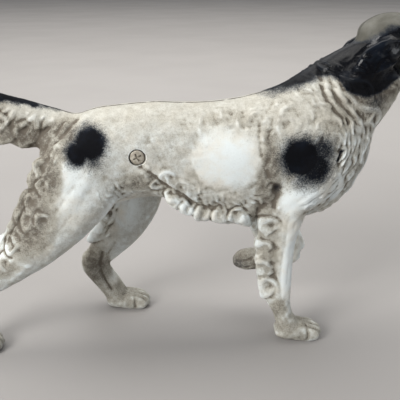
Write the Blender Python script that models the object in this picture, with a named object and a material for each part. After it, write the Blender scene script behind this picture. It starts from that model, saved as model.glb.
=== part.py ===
"""Cast iron setter dog: two half castings that meet on the dog's mid-plane, held by one screw.

Metres, +Z up. +X runs from the tail to the nose, -Y is the dog's right side, and the origin lies on
the floor under the middle of the figure's length. The dog stands on three feet; its left forepaw
is lifted. The figure's own form is drawn in shares of its height: a drawing unit is one part in 222
of FIGURE_HEIGHT. The joint and the screw keep their own sizes in metres.
"""

import math

import bmesh
import bpy
import numpy as np
from mathutils import Vector
from mathutils.bvhtree import BVHTree

# The figure
FIGURE_HEIGHT = 0.222
DRAWING_HEIGHT = 222.0
UNIT = FIGURE_HEIGHT / DRAWING_HEIGHT

# The joint between the two half castings
JOINT_GAP = 0.0003

# The assembly screw and its place on the right flank
SCREW_X = -27.0 * UNIT
SCREW_Z = 138.0 * UNIT
SCREW_HEAD_DIAMETER = 0.0094
SCREW_HEAD_HEIGHT = 0.0024
SCREW_HEAD_PROUD = 0.0004
# The domed head, from face to rim: (share of its radius, share of its height below the face)
SCREW_DOME = [(0.55, 0.0), (0.86, 0.14), (1.0, 0.42), (1.0, 1.0)]
SCREW_SHANK_DIAMETER = 0.0048
SCREW_GRIP = 0.014
SCREW_SLOT_LENGTH = 0.0050
SCREW_SLOT_WIDTH = 0.0011
SCREW_SLOT_DEPTH = 0.0011
SCREW_SLOT_TURN = math.radians(28)
COUNTERBORE_DIAMETER = 0.0128
SCREW_CLEARANCE = 0.0003

# How finely the castings are modelled
VOXEL = 1.5 * UNIT
RELAX_ROUNDS = 7
CARVING_RELAX_ROUNDS = 3
FIGURE_TRIANGLES = 7800
RING_SIDES = 24
RING_STEPS = 6
ROUND_SIDES = 32
SHARP_ANGLE = math.radians(50)

# How the locks of a row vary: swing of direction in degrees, share of length, and the beat of both
LOCK_SWING = 9.0
LOCK_STRETCH = 0.12
LOCK_BEAT = 2.4
# A lock's outline: fullness at its root, and how late it draws in to the tip
LEAF_ROOT = 0.62
LEAF_TAPER = 2.6
# A proud lock keeps this share of its width at the tip, and this share of its thickness where it is thin
PROUD_TIP = 0.25
PROUD_THIN = 0.4
# Carving reaches full height where a surface turns this far to the side
CARVED_FACING = 0.625

# Paint and metal
ENAMEL_WHITE = (0.78, 0.76, 0.72, 1.0)
BARE_SCREW = (0.42, 0.40, 0.36, 1.0)

RIGHT, LEFT = -1.0, 1.0

# Stations of the lofted forms, in drawing units.
# Each is (x, y, z, half depth seen from the side, half width).
NECK = [
    (64, 0, 136, 34, 27), (88, 0, 153, 33, 26), (106, 0, 168.5, 30, 23.5),
    (119, 0, 181.5, 26, 20.5), (129, 0, 193, 20.5, 18),
]
SKULL = [
    (115, 0, 201.5, 8, 8), (120, 0, 203.4, 14.6, 13.6), (129, 0, 204.4, 17.6, 17),
    (139, 0, 204.2, 17.5, 16.8), (148, 0, 203.2, 14.4, 13.6), (156, 0, 202.5, 11, 10.5),
]
MUZZLE = [
    (144, 0, 203, 12.5, 12.5), (154, 0, 202.6, 10.8, 10), (164, 0, 202.6, 9.8, 9.2), (171, 0, 203, 8.8, 8.4),
    (176, 0, 204.2, 6.6, 6.4), (178.6, 0, 205.2, 4, 4),
]
JAW = [
    (136, 0, 189, 8, 10), (148, 0, 190.5, 6, 8.4), (160, 0, 191.8, 4.8, 6.8), (168, 0, 193.4, 4, 5.2),
    (171, 0, 194.6, 2.6, 3.4),
]
EAR = [
    (135, 14.5, 205, 4, 3), (128, 18, 201.5, 8.6, 3.4), (118.5, 20.4, 195, 10.4, 3.4),
    (110.5, 20.6, 187.5, 8, 3), (105.5, 19.6, 181.6, 3.5, 2.2),
]
TAIL = [
    (-62, 0, 149, 8, 8), (-76, 0, 152.5, 9.5, 8), (-92, 0, 158.6, 8.6, 7.2), (-108, 0, 164.2, 7.6, 6.6),
    (-125, 0, 170.4, 6.5, 6), (-142, 0, 176.8, 5.4, 5.2), (-159, 0, 183.4, 4.2, 4.2),
    (-171.6, 0, 188.2, 3, 3), (-180, 0, 191.2, 1.8, 1.8),
]
TAIL_FEATHER = [
    (-80, 0, 146, 6, 6), (-91, 0, 147, 9.6, 5.6), (-104, 0, 150, 13, 5.2), (-118, 0, 158, 11, 4.8),
    (-138, 0, 168, 8.6, 4.2), (-152, 0, 176, 6.6, 3.6), (-164, 0, 182.6, 4.2, 2.8),
]
# The trunk's stations are (x, top, bottom, half width)
TRUNK = [
    (-92, 140, 112, 9), (-86, 150, 102, 18), (-74, 157, 95, 25), (-55, 163.5, 95, 28.5),
    (-35, 166, 101, 28), (-15, 167.5, 103, 27.5), (5, 166.8, 96, 29.5), (30, 168.4, 89, 31.5),
    (55, 174, 86, 32), (80, 184, 86, 31), (98, 189, 92, 28.5), (112, 180, 106, 23.5), (121, 166, 120, 16.5),
    (125, 154, 132, 8),
]
# Legs; upper arms are given for the left side and mirrored
FORE_UPPER = [(86, 19, 138, 21, 12), (79, 23, 119, 17.5, 11.5), (70, 24, 102, 12, 10)]
RIGHT_FOREARM = [
    (71, -23, 106, 12, 10), (70, -22.5, 93, 9.6, 9), (69.6, -22, 76, 7.6, 7.8), (69.4, -21.5, 56, 7, 7.2),
    (69, -21.5, 39, 7.3, 7.2), (70, -21.5, 26, 6.8, 6.8), (72.5, -21.5, 16, 7, 7.6), (77, -21.5, 9, 7, 9),
]
RIGHT_FORE_FEATHER = [
    (64, -22, 106, 9, 7), (60, -21.5, 90, 9, 6.4), (59.6, -21.5, 73, 8, 5.6), (59, -21.5, 56, 8.4, 5),
    (60, -21.5, 42, 7, 4.6), (64, -21.5, 30, 5, 4),
]
LEFT_FOREARM = [
    (67, 22, 105, 11, 9), (70, 21, 89, 9.5, 8), (77, 19, 73, 8, 7.2), (84, 17.6, 59, 7.4, 7),
    (88, 17, 50, 6.6, 7),
]
LEFT_PAW = [
    (88.5, 17, 49, 5.6, 6.6), (80, 17, 44.5, 7.4, 7), (68, 17, 42, 7.8, 7.6), (57, 17, 42.6, 8.4, 9),
    (48, 17, 42.4, 7.8, 9.4), (42, 17, 41.4, 5.4, 7), (38.6, 17, 41, 2.8, 4),
]
LEFT_FORE_FEATHER = [
    (61, 21, 98, 8, 6), (59.5, 20, 83, 7, 5), (61.5, 19, 68, 6.5, 4.4), (68, 18, 57, 5, 3.6),
]
RIGHT_THIGH = [
    (-58, -13, 141, 25, 13), (-64, -20, 121, 26.5, 13), (-76, -24, 102, 22.6, 12), (-90, -26, 84, 17.6, 10.6),
    (-106, -27.4, 69, 13.4, 9.2), (-124, -28.4, 55.5, 10.2, 8), (-140, -29, 46, 8.4, 7),
    (-149, -29, 41, 8, 6.8),
]
RIGHT_SHIN = [
    (-152, -29, 53, 6, 5.6), (-152.5, -29, 41, 8.2, 6.8), (-151.5, -29, 28, 7, 6.4), (-150, -29, 16, 7, 7),
    (-147, -29, 8, 7.4, 8.6),
]
LEFT_THIGH = [
    (-50, 14, 138, 24, 13), (-40, 20, 119, 24, 14), (-34.4, 24, 101, 22, 13.4), (-36.6, 25, 84, 19, 11.6),
    (-45.6, 24.4, 66, 15.4, 9.8), (-56, 24, 53, 12.4, 8.2), (-65, 24, 43, 10, 7.2),
]
LEFT_SHIN = [
    (-71, 24, 48, 5.6, 5.6), (-67.8, 24, 37, 10.4, 7.4), (-61.4, 24, 26, 10, 7.2), (-55.5, 24, 17, 9.2, 7.4),
    (-51.5, 24, 9, 8.4, 8.8),
]
# A standing foot, from heel to toe: (x from the foot's middle, z, half depth, half width)
FOOT = [
    (-17, 4.6, 3.8, 5.8), (-11, 5.6, 6.8, 8.4), (-2, 6, 7.6, 10.4), (7, 4.8, 6.6, 10.6), (13, 3, 5.2, 8.2),
    (16.6, 2.2, 3, 5),
]
STANDING_FEET = {"right_fore": (83, -21.5), "right_hind": (-142.5, -29.5), "left_hind": (-42.5, 24)}

# Rows of hair locks: (roots, count, (first, last) direction in degrees, length, half width, bend in
# degrees, height). Roots are (x, z) in the side view; 0 degrees points to the nose, 90 degrees up.
PROUD_ROWS = {
    "tail": ([(-85, 149), (-101, 151.5), (-120, 157.5), (-140, 168), (-162, 182)], 7,
             (-118, -174), 17, 6.6, -30, 4.4),
    "right_buttock": ([(-84, 137), (-91, 121), (-97, 105), (-107, 88), (-121, 71)], 6,
                      (-114, -146), 16, 6.4, 30, 6.0),
    "left_buttock": ([(-79, 132), (-64, 112), (-54, 95), (-52, 80), (-58, 68)], 5,
                     (-116, -130), 15, 6.6, 30, 5.8),
    "right_elbow": ([(60, 102), (55, 88), (54, 72), (53, 58), (55, 46)], 5, (-114, -98), 13, 5.4, 36, 4.8),
    "left_elbow": ([(57, 97), (56, 82), (58, 68)], 3, (-108, -92), 12, 4.6, 30, 4.0),
    "right_belly": ([(-5, 107), (7, 99.5), (24, 93), (42, 93)], 6, (-52, -74), 14, 5.2, 36, 5.4),
    "left_belly": ([(-5, 107), (7, 99.5), (24, 93), (42, 93)], 5, (-52, -74), 14, 5.6, 36, 5.4),
}
PROUD_SIDE = {
    "tail": 0, "right_buttock": -23, "left_buttock": 22, "right_elbow": -21.5, "left_elbow": 20,
    "right_belly": -13, "left_belly": 13,
}
CARVED_ROWS = {
    "chest edge": ([(104, 172), (114, 158), (117, 142), (112, 122), (102, 104), (88, 95)], 8,
                   (-60, -150), 20, 4.6, -26, 2.4),
    "chest inner": ([(92, 166), (102, 152), (105, 136), (99, 118)], 5, (-56, -128), 18, 4.4, -28, 1.8),
    "neck ruff": ([(88, 193), (97, 187), (106, 181)], 3, (-72, -60), 23, 4.0, 32, 2.0),
    "throat": ([(113, 178), (121, 177), (130, 179)], 3, (-76, -108), 16, 4.0, -20, 1.8),
    "behind shoulder": ([(58, 169), (55, 150), (56, 130)], 4, (-98, -84), 19, 4.2, 30, 1.9),
    "shoulder top": ([(66, 164), (80, 166), (94, 161)], 3, (-146, -34), 15, 4.2, 40, 1.6),
    "side curls": ([(8, 160), (24, 161), (40, 163)], 3, (-46, -40), 16, 4.6, -46, 1.4),
    "flank crease": ([(-22, 131), (-9, 121), (5, 112)], 4, (-52, -44), 16, 4.4, 34, 2.0),
    "groin": ([(-46, 113), (-32, 116), (-18, 115)], 4, (-98, -62), 15, 4.6, 24, 2.2),
    "belly": ([(6, 109), (22, 104), (40, 104)], 5, (-52, -64), 19, 4.4, 34, 2.2),
    "thigh back": ([(-78, 126), (-85, 108), (-97, 92)], 4, (-118, -136), 19, 5.0, 26, 2.2),
    "elbow": ([(66, 104), (63, 84), (62, 62)], 4, (-108, -98), 18, 4.6, 26, 2.0),
    "tail side": ([(-84, 154), (-102, 158), (-124, 165)], 4, (-128, -154), 19, 4.8, -24, 2.0),
    "ear": ([(125, 205), (117, 200)], 2, (-146, -138), 20, 4.0, 22, 1.2),
}


def smooth_path(stations, steps):
    """Catmull-Rom curve through the stations: every column is read at even steps of its parameter."""
    knots = np.asarray(stations, dtype=float)
    padded = np.vstack([2 * knots[0] - knots[1], knots, 2 * knots[-1] - knots[-2]])
    t = np.linspace(0.0, 1.0, steps, endpoint=False)[:, None]
    rows = []
    for i in range(len(knots) - 1):
        a, b, c, d = padded[i:i + 4]
        rows.append(0.5 * (2 * b + (c - a) * t + (2 * a - 5 * b + 4 * c - d) * t ** 2
                           + (3 * b - a - 3 * c + d) * t ** 3))
    rows.append(knots[-1:])
    return np.vstack(rows)


def tube_rings(stations, steps=RING_STEPS, sides=RING_SIDES):
    """Elliptical rings square to a path: half depth lies in the side view, half width runs along Y."""
    path = smooth_path(stations, steps)
    centre, depth, width = path[:, :3], path[:, 3:4], path[:, 4:5]
    tangent = np.gradient(centre, axis=0)
    tangent /= np.linalg.norm(tangent, axis=1)[:, None]
    across = np.cross(tangent, np.array([0.0, 1.0, 0.0]))
    across /= np.linalg.norm(across, axis=1)[:, None]
    side = np.cross(across, tangent)
    angle = np.linspace(0.0, 2 * math.pi, sides, endpoint=False)
    return (centre[:, None, :]
            + depth[:, None, :] * across[:, None, :] * np.cos(angle)[None, :, None]
            + width[:, None, :] * side[:, None, :] * np.sin(angle)[None, :, None])


def trunk_rings():
    """Upright rings of the trunk, from its top line, underline and half width."""
    path = smooth_path(TRUNK, RING_STEPS)
    x, top, bottom, width = path.T
    angle = np.linspace(0.0, 2 * math.pi, RING_SIDES, endpoint=False)
    rings = np.empty((len(path), RING_SIDES, 3))
    rings[:, :, 0] = x[:, None]
    rings[:, :, 1] = width[:, None] * np.sin(angle)
    rings[:, :, 2] = ((top + bottom) / 2)[:, None] + ((top - bottom) / 2)[:, None] * np.cos(angle)
    return rings


def row_locks(row):
    """The locks of a row, evenly spaced along its root line.

    Each is (x, z, direction, length, half width, bend, height).
    """
    roots, count, (first, last), length, half_width, bend, height = row
    line = smooth_path(roots, 12)
    along = np.concatenate([[0.0], np.cumsum(np.linalg.norm(np.diff(line, axis=0), axis=1))])
    locks = []
    for i in range(count):
        share = i / (count - 1)
        x, z = (np.interp(share * along[-1], along, line[:, k]) for k in (0, 1))
        direction = first + (last - first) * share + LOCK_SWING * math.sin(LOCK_BEAT * i)
        stretch = 1 + LOCK_STRETCH * math.cos(LOCK_BEAT * i)
        locks.append((x, z, direction, length * stretch, half_width, bend, height))
    return locks


def lock_line(lock, points):
    """The centre line of a lock: an arc in the side view whose direction turns by bend from root to tip."""
    x, z, direction, length, _, bend, _ = lock
    share = np.linspace(0.0, 1.0, points)
    angle = np.radians(direction + bend * (share - 0.5))
    step = length / (points - 1)
    run = np.concatenate([[0.0], np.cumsum(np.cos(angle[:-1]))]) * step
    rise = np.concatenate([[0.0], np.cumsum(np.sin(angle[:-1]))]) * step
    return np.stack([x + run, z + rise], axis=1), share


def leaf(share):
    """How full a lock is along its length: rounded root, widest before the middle, pointed tip."""
    belly = LEAF_ROOT + (1.0 - LEAF_ROOT) * np.sin(math.pi * np.sqrt(share))
    return np.sqrt(np.clip(1.0 - share ** LEAF_TAPER, 0.0, 1.0)) * belly


def proud_stations(lock, y):
    """Loft stations of a lock that stands out of the outline."""
    line, share = lock_line(lock, 6)
    fullness = np.maximum(leaf(share), PROUD_TIP)
    thickness = lock[6] * (PROUD_THIN + (1.0 - PROUD_THIN) * fullness)
    return [(x, y, z, lock[4] * full, thick) for (x, z), full, thick in zip(line, fullness, thickness)]


def carved_height(x, z, locks):
    """Height of the carved locks at side-view places: round-topped leaves, the highest one winning."""
    height = np.zeros(len(x))
    for lock in locks:
        line, share = lock_line(lock, 9)
        half_width = lock[4]
        low, high = line.min(axis=0) - half_width, line.max(axis=0) + half_width
        near = np.flatnonzero((x > low[0]) & (x < high[0]) & (z > low[1]) & (z < high[1]))
        if not len(near):
            continue
        start, end = line[:-1], line[1:]
        run = end - start
        offset = np.stack([x[near], z[near]], axis=1)[:, None, :] - start[None]
        t = np.clip((offset * run).sum(axis=2) / (run ** 2).sum(axis=1), 0.0, 1.0)
        gap = np.linalg.norm(offset - t[:, :, None] * run, axis=2)
        place = share[:-1] + t * (share[1] - share[0])
        full = leaf(place)
        rise = np.sqrt(np.clip(1.0 - (gap / (half_width * full + 1e-6)) ** 2, 0.0, 1.0)) * full
        height[near] = np.maximum(height[near], lock[6] * rise.max(axis=1))
    return height


def foot_stations(name):
    """A standing foot's stations at its place on the floor."""
    middle, y = STANDING_FEET[name]
    return [(middle + x, y, z, depth, width) for x, z, depth, width in FOOT]


def mirrored(stations):
    """The same stations on the other side of the dog."""
    return [(x, -y, z, depth, width) for x, y, z, depth, width in stations]


def add_rings(mesh, rings):
    """Skin the rings with quads and close both ends."""
    ring_verts = [[mesh.verts.new(Vector(point) * UNIT) for point in ring] for ring in rings]
    count = len(ring_verts[0])
    for first, second in zip(ring_verts, ring_verts[1:]):
        for i in range(count):
            j = (i + 1) % count
            mesh.faces.new((first[i], first[j], second[j], second[i]))
    mesh.faces.new(list(reversed(ring_verts[0])))
    mesh.faces.new(ring_verts[-1])


def figure_forms():
    """All the closed forms that are fused into the dog."""
    forms = [trunk_rings()]
    for stations in (NECK, SKULL, MUZZLE, JAW, EAR, mirrored(EAR), TAIL, TAIL_FEATHER,
                     FORE_UPPER, mirrored(FORE_UPPER), RIGHT_FOREARM, RIGHT_FORE_FEATHER,
                     LEFT_FOREARM, LEFT_PAW, LEFT_FORE_FEATHER,
                     RIGHT_THIGH, RIGHT_SHIN, LEFT_THIGH, LEFT_SHIN):
        forms.append(tube_rings(stations))
    for name in STANDING_FEET:
        forms.append(tube_rings(foot_stations(name)))
    for name, row in PROUD_ROWS.items():
        for lock in row_locks(row):
            forms.append(tube_rings(proud_stations(lock, PROUD_SIDE[name]), steps=2, sides=12))
    return forms


def object_from(name, mesh_data):
    """Link a mesh to the scene as an object."""
    thing = bpy.data.objects.new(name, mesh_data)
    bpy.context.scene.collection.objects.link(thing)
    return thing


def evaluated_mesh(thing):
    """The mesh of an object with its modifiers worked out."""
    graph = bpy.context.evaluated_depsgraph_get()
    return bpy.data.meshes.new_from_object(thing.evaluated_get(graph))


def read_points(mesh_data):
    """Vertex places as an array."""
    points = np.empty(len(mesh_data.vertices) * 3)
    mesh_data.vertices.foreach_get("co", points)
    return points.reshape(-1, 3)


def read_normals(mesh_data):
    """Vertex normals as an array."""
    normals = np.empty(len(mesh_data.vertices) * 3)
    mesh_data.vertices.foreach_get("normal", normals)
    return normals.reshape(-1, 3)


def read_edges(mesh_data):
    """Edge ends as an array."""
    edges = np.empty(len(mesh_data.edges) * 2, dtype=np.int64)
    mesh_data.edges.foreach_get("vertices", edges)
    return edges.reshape(-1, 2)


def relax(points, edges, rounds, strength=0.5):
    """Move every point part of the way to the mean of its neighbours, rounds times."""
    count = np.bincount(edges.ravel(), minlength=len(points))[:, None]
    for _ in range(rounds):
        total = np.zeros_like(points)
        for axis in range(3):
            total[:, axis] = (np.bincount(edges[:, 0], points[edges[:, 1], axis], len(points))
                              + np.bincount(edges[:, 1], points[edges[:, 0], axis], len(points)))
        points = points + strength * (total / count - points)
    return points


def fused_figure():
    """The whole dog as one closed mesh: forms fused on a fine grid, relaxed and thinned."""
    mesh = bmesh.new()
    for rings in figure_forms():
        add_rings(mesh, rings)
    bmesh.ops.recalc_face_normals(mesh, faces=mesh.faces)
    data = bpy.data.meshes.new("figure_forms")
    mesh.to_mesh(data)
    mesh.free()
    forms = object_from("figure_forms", data)
    fuse = forms.modifiers.new("fuse", "REMESH")
    fuse.mode = "VOXEL"
    fuse.voxel_size = VOXEL
    fused = evaluated_mesh(forms)
    bpy.data.objects.remove(forms)
    points = relax(read_points(fused), read_edges(fused), RELAX_ROUNDS)
    fused.vertices.foreach_set("co", points.ravel())
    fused.update()
    normals = read_normals(fused)
    locks = [lock for row in CARVED_ROWS.values() for lock in row_locks(row)]
    height = carved_height(points[:, 0] / UNIT, points[:, 2] / UNIT, locks) * UNIT
    facing = np.clip(np.abs(normals[:, 1]) / CARVED_FACING, 0.0, 1.0)
    raised = points + normals * (height * facing)[:, None]
    points = relax(raised, read_edges(fused), CARVING_RELAX_ROUNDS)
    fused.vertices.foreach_set("co", points.ravel())
    fused.update()
    return fused


def thinned(data, triangles):
    """A copy of the mesh with about so many triangles, kept dense where the form turns."""
    thing = object_from("figure_fine", data)
    thin = thing.modifiers.new("thin", "DECIMATE")
    thin.ratio = triangles / (2.0 * len(data.polygons))
    result = evaluated_mesh(thing)
    bpy.data.objects.remove(thing)
    return result


def cut_flat(mesh, point, normal):
    """Take away what lies on the normal's side of a plane, and close the cut with a flat face."""
    parts = list(mesh.verts) + list(mesh.edges) + list(mesh.faces)
    bmesh.ops.bisect_plane(mesh, geom=parts, plane_co=point, plane_no=normal, clear_outer=True)
    rim = [edge for edge in mesh.edges if edge.is_boundary]
    bmesh.ops.triangle_fill(mesh, use_beauty=True, edges=rim, normal=normal)


def material(name, colour, roughness, metallic):
    """A plain Principled material."""
    made = bpy.data.materials.new(name)
    made.use_nodes = True
    shader = made.node_tree.nodes["Principled BSDF"]
    shader.inputs["Base Color"].default_value = colour
    shader.inputs["Roughness"].default_value = roughness
    shader.inputs["Metallic"].default_value = metallic
    return made


def casting(name, figure, side, finish):
    """One half of the figure: cut at the mid-plane, with flat soles on the floor."""
    mesh = bmesh.new()
    mesh.from_mesh(figure)
    cut_flat(mesh, (0.0, side * JOINT_GAP / 2, 0.0), (0.0, -side, 0.0))
    cut_flat(mesh, (0.0, 0.0, 0.0), (0.0, 0.0, -1.0))
    bmesh.ops.recalc_face_normals(mesh, faces=mesh.faces)
    data = bpy.data.meshes.new(name)
    mesh.to_mesh(data)
    mesh.free()
    data.materials.append(finish)
    data.shade_smooth()
    data.set_sharp_from_angle(angle=SHARP_ANGLE)
    return object_from(name, data)


def turned(name, profile):
    """A solid turned about the Y axis through the screw's place, from (radius, y) pairs along its side."""
    mesh = bmesh.new()
    rings = []
    for radius, y in profile:
        ring = []
        for i in range(ROUND_SIDES):
            angle = 2 * math.pi * i / ROUND_SIDES
            x = SCREW_X + radius * math.cos(angle)
            z = SCREW_Z + radius * math.sin(angle)
            ring.append(mesh.verts.new((x, y, z)))
        rings.append(ring)
    for first, second in zip(rings, rings[1:]):
        for i in range(ROUND_SIDES):
            j = (i + 1) % ROUND_SIDES
            mesh.faces.new((first[i], first[j], second[j], second[i]))
    mesh.faces.new(rings[0])
    mesh.faces.new(rings[-1])
    bmesh.ops.recalc_face_normals(mesh, faces=mesh.faces)
    data = bpy.data.meshes.new(name)
    mesh.to_mesh(data)
    mesh.free()
    return object_from(name, data)


def cross_cutter(name, face_y):
    """The cross recess: a plus-shaped prism sunk SCREW_SLOT_DEPTH into the head's face."""
    arm, half = SCREW_SLOT_LENGTH / 2, SCREW_SLOT_WIDTH / 2
    corners = [(arm, half), (half, half), (half, arm)]
    outline = []
    for turn in range(4):
        angle = turn * math.pi / 2 + SCREW_SLOT_TURN
        for across, up in corners:
            outline.append((across * math.cos(angle) - up * math.sin(angle),
                            across * math.sin(angle) + up * math.cos(angle)))
    mesh = bmesh.new()
    rings = [[mesh.verts.new((SCREW_X + a, y, SCREW_Z + b)) for a, b in outline]
             for y in (face_y - SCREW_SLOT_DEPTH, face_y + SCREW_SLOT_DEPTH)]
    for i in range(len(outline)):
        j = (i + 1) % len(outline)
        mesh.faces.new((rings[0][i], rings[0][j], rings[1][j], rings[1][i]))
    mesh.faces.new(rings[0])
    mesh.faces.new(rings[1])
    bmesh.ops.recalc_face_normals(mesh, faces=mesh.faces)
    data = bpy.data.meshes.new(name)
    mesh.to_mesh(data)
    mesh.free()
    return object_from(name, data)


def cut_with(thing, cutter):
    """Subtract a cutter, which stays in the file as a hidden guide."""
    cut = thing.modifiers.new("cut_" + cutter.name, "BOOLEAN")
    cut.operation = "DIFFERENCE"
    cut.solver = "EXACT"
    cut.object = cutter
    cutter.hide_render = True
    cutter.display_type = "WIRE"


def flank_at_screw(figure):
    """Y of the right flank where the screw goes in."""
    tree = BVHTree.FromPolygons([v.co for v in figure.vertices], [p.vertices[:] for p in figure.polygons])
    hit = tree.ray_cast(Vector((SCREW_X, -FIGURE_HEIGHT, SCREW_Z)), Vector((0.0, 1.0, 0.0)))
    return hit[0].y


def assembly_screw(flank, finish):
    """The round-headed screw: head in its counterbore, shank through the right half into the left."""
    face = flank - SCREW_HEAD_PROUD
    seat = face + SCREW_HEAD_HEIGHT
    head, shank = SCREW_HEAD_DIAMETER / 2, SCREW_SHANK_DIAMETER / 2
    profile = [(head * across, face + SCREW_HEAD_HEIGHT * down) for across, down in SCREW_DOME]
    profile += [(shank, seat), (shank, SCREW_GRIP - shank / 2), (shank / 2, SCREW_GRIP)]
    screw = turned("assembly_screw", profile)
    screw.data.materials.append(finish)
    screw.data.shade_smooth()
    screw.data.set_sharp_from_angle(angle=SHARP_ANGLE)
    cut_with(screw, cross_cutter("screw_cross", face))
    return screw


def screw_holes(right, left, flank):
    """Counterbore and clearance hole through the right half, blind hole in the left."""
    floor = flank - SCREW_HEAD_PROUD + SCREW_HEAD_HEIGHT + SCREW_CLEARANCE
    bore = SCREW_SHANK_DIAMETER / 2 + SCREW_CLEARANCE
    outside = flank - COUNTERBORE_DIAMETER
    cut_with(right, turned("right_screw_hole", [
        (COUNTERBORE_DIAMETER / 2, outside), (COUNTERBORE_DIAMETER / 2, floor), (bore, floor),
        (bore, JOINT_GAP)]))
    cut_with(left, turned("left_screw_hole", [
        (bore, -JOINT_GAP), (bore, SCREW_GRIP + SCREW_CLEARANCE)]))


def main():
    for thing in list(bpy.data.objects):
        bpy.data.objects.remove(thing)
    enamel = material("white_enamel_on_iron", ENAMEL_WHITE, 0.42, 0.0)
    steel = material("worn_screw_metal", BARE_SCREW, 0.5, 0.8)
    figure = thinned(fused_figure(), FIGURE_TRIANGLES)
    right = casting("right_casting", figure, RIGHT, enamel)
    left = casting("left_casting", figure, LEFT, enamel)
    flank = flank_at_screw(figure)
    screw_holes(right, left, flank)
    assembly_screw(flank, steel)


main()
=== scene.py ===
"""Painted cast iron setter dog: the looks of its two half castings and their screw.

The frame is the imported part, in metres, +X to the nose and -Y to the dog's right side. Stations and
fur are given in millimetres of that frame.
"""

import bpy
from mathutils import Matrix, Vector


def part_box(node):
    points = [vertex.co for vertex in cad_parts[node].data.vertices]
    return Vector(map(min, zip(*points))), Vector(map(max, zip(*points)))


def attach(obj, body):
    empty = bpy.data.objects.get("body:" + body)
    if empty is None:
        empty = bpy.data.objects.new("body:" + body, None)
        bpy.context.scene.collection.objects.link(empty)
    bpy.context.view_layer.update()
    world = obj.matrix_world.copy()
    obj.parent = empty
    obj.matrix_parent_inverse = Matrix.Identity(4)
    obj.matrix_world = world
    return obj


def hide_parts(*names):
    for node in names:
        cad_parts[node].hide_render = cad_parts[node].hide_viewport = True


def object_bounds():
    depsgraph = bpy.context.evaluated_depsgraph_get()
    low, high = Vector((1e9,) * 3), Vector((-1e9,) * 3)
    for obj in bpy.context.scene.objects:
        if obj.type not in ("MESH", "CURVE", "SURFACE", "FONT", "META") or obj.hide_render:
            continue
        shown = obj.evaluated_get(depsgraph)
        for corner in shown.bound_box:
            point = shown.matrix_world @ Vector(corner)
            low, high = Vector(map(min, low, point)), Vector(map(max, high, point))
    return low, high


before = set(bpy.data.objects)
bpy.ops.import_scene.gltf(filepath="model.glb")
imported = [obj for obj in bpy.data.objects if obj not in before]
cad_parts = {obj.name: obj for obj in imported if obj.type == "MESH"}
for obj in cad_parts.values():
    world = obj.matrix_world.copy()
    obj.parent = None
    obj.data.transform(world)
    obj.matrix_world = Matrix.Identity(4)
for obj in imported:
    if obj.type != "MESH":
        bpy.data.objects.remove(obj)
CAD_BOX = [list(corner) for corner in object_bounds()]

import math

import bmesh
import bpy
import numpy as np
from bpy.props import FloatProperty, FloatVectorProperty, IntProperty, PointerProperty
from mathutils import Vector

bl_info = {
    "name": "Cast iron setter dog",
    "version": (1, 0, 0),
    "blender": (4, 5, 0),
    "location": "View3D > Sidebar > Iron Dog",
    "description": "Builds the carved and painted halves of a cast iron dog and the screw that joins them",
    "category": "Add Mesh",
}

MM = 0.001
RIGHT, LEFT = -1.0, 1.0
SCREW_LOW, SCREW_HIGH = (np.array(corner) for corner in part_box("assembly_screw"))
SCREW_X = (SCREW_LOW[0] + SCREW_HIGH[0]) / 2
SCREW_Z = (SCREW_LOW[2] + SCREW_HIGH[2]) / 2
SCREW_RADIUS = (SCREW_HIGH[0] - SCREW_LOW[0]) / 2

# Stations of the body's forms: (x, y, z, half depth in the side view, half width)
NECK = [
    (64, 0, 136, 34, 27), (88, 0, 153, 33, 26), (106, 0, 168.5, 30, 23.5),
    (119, 0, 181.5, 26, 20.5), (129, 0, 193, 20.5, 18),
]
SKULL = [
    (115, 0, 201.5, 8, 8), (120, 0, 203.4, 14.6, 13.6), (129, 0, 204.4, 17.6, 17),
    (139, 0, 204.2, 17.5, 16.8), (148, 0, 203.2, 14.4, 13.6), (156, 0, 202.5, 11, 10.5),
]
MUZZLE = [
    (144, 0, 203, 12.5, 12.5), (154, 0, 202.6, 10.8, 10), (164, 0, 202.6, 9.8, 9.2),
    (171, 0, 203, 8.8, 8.4), (176, 0, 204.2, 6.6, 6.4), (178.6, 0, 205.2, 4, 4),
]
JAW = [
    (136, 0, 189, 8, 10), (148, 0, 190.5, 6, 8.4), (160, 0, 191.8, 4.8, 6.8), (168, 0, 193.4, 4, 5.2),
    (171, 0, 194.6, 2.6, 3.4),
]
EAR = [
    (135, 14.5, 205, 4, 3), (128, 18, 201.5, 8.6, 3.4), (118.5, 20.4, 195, 10.4, 3.4),
    (110.5, 20.6, 187.5, 8, 3), (105.5, 19.6, 181.6, 3.5, 2.2),
]
EYEBALL = [
    (126.5, 15.2, 199.6, 0.8, 0.8), (127.5, 15.4, 199.8, 2.3, 2.3), (129.2, 15.6, 200, 2.9, 2.9),
    (130.9, 15.6, 200.2, 2.3, 2.3), (131.9, 15.4, 200.3, 0.8, 0.8),
]
TAIL = [
    (-62, 0, 149, 8, 8), (-76, 0, 152.5, 9.5, 8), (-92, 0, 158.6, 8.6, 7.2), (-108, 0, 164.2, 7.6, 6.6),
    (-125, 0, 170.4, 6.5, 6), (-142, 0, 176.8, 5.4, 5.2), (-159, 0, 183.4, 4.2, 4.2),
    (-171.6, 0, 188.2, 3, 3), (-180, 0, 191.2, 1.8, 1.8),
]
TAIL_FEATHER = [
    (-80, 0, 146, 6, 6), (-91, 0, 147, 9.6, 5.6), (-104, 0, 150, 13, 5.2), (-118, 0, 158, 11, 4.8),
    (-138, 0, 168, 8.6, 4.2), (-152, 0, 176, 6.6, 3.6), (-164, 0, 182.6, 4.2, 2.8),
]
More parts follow.
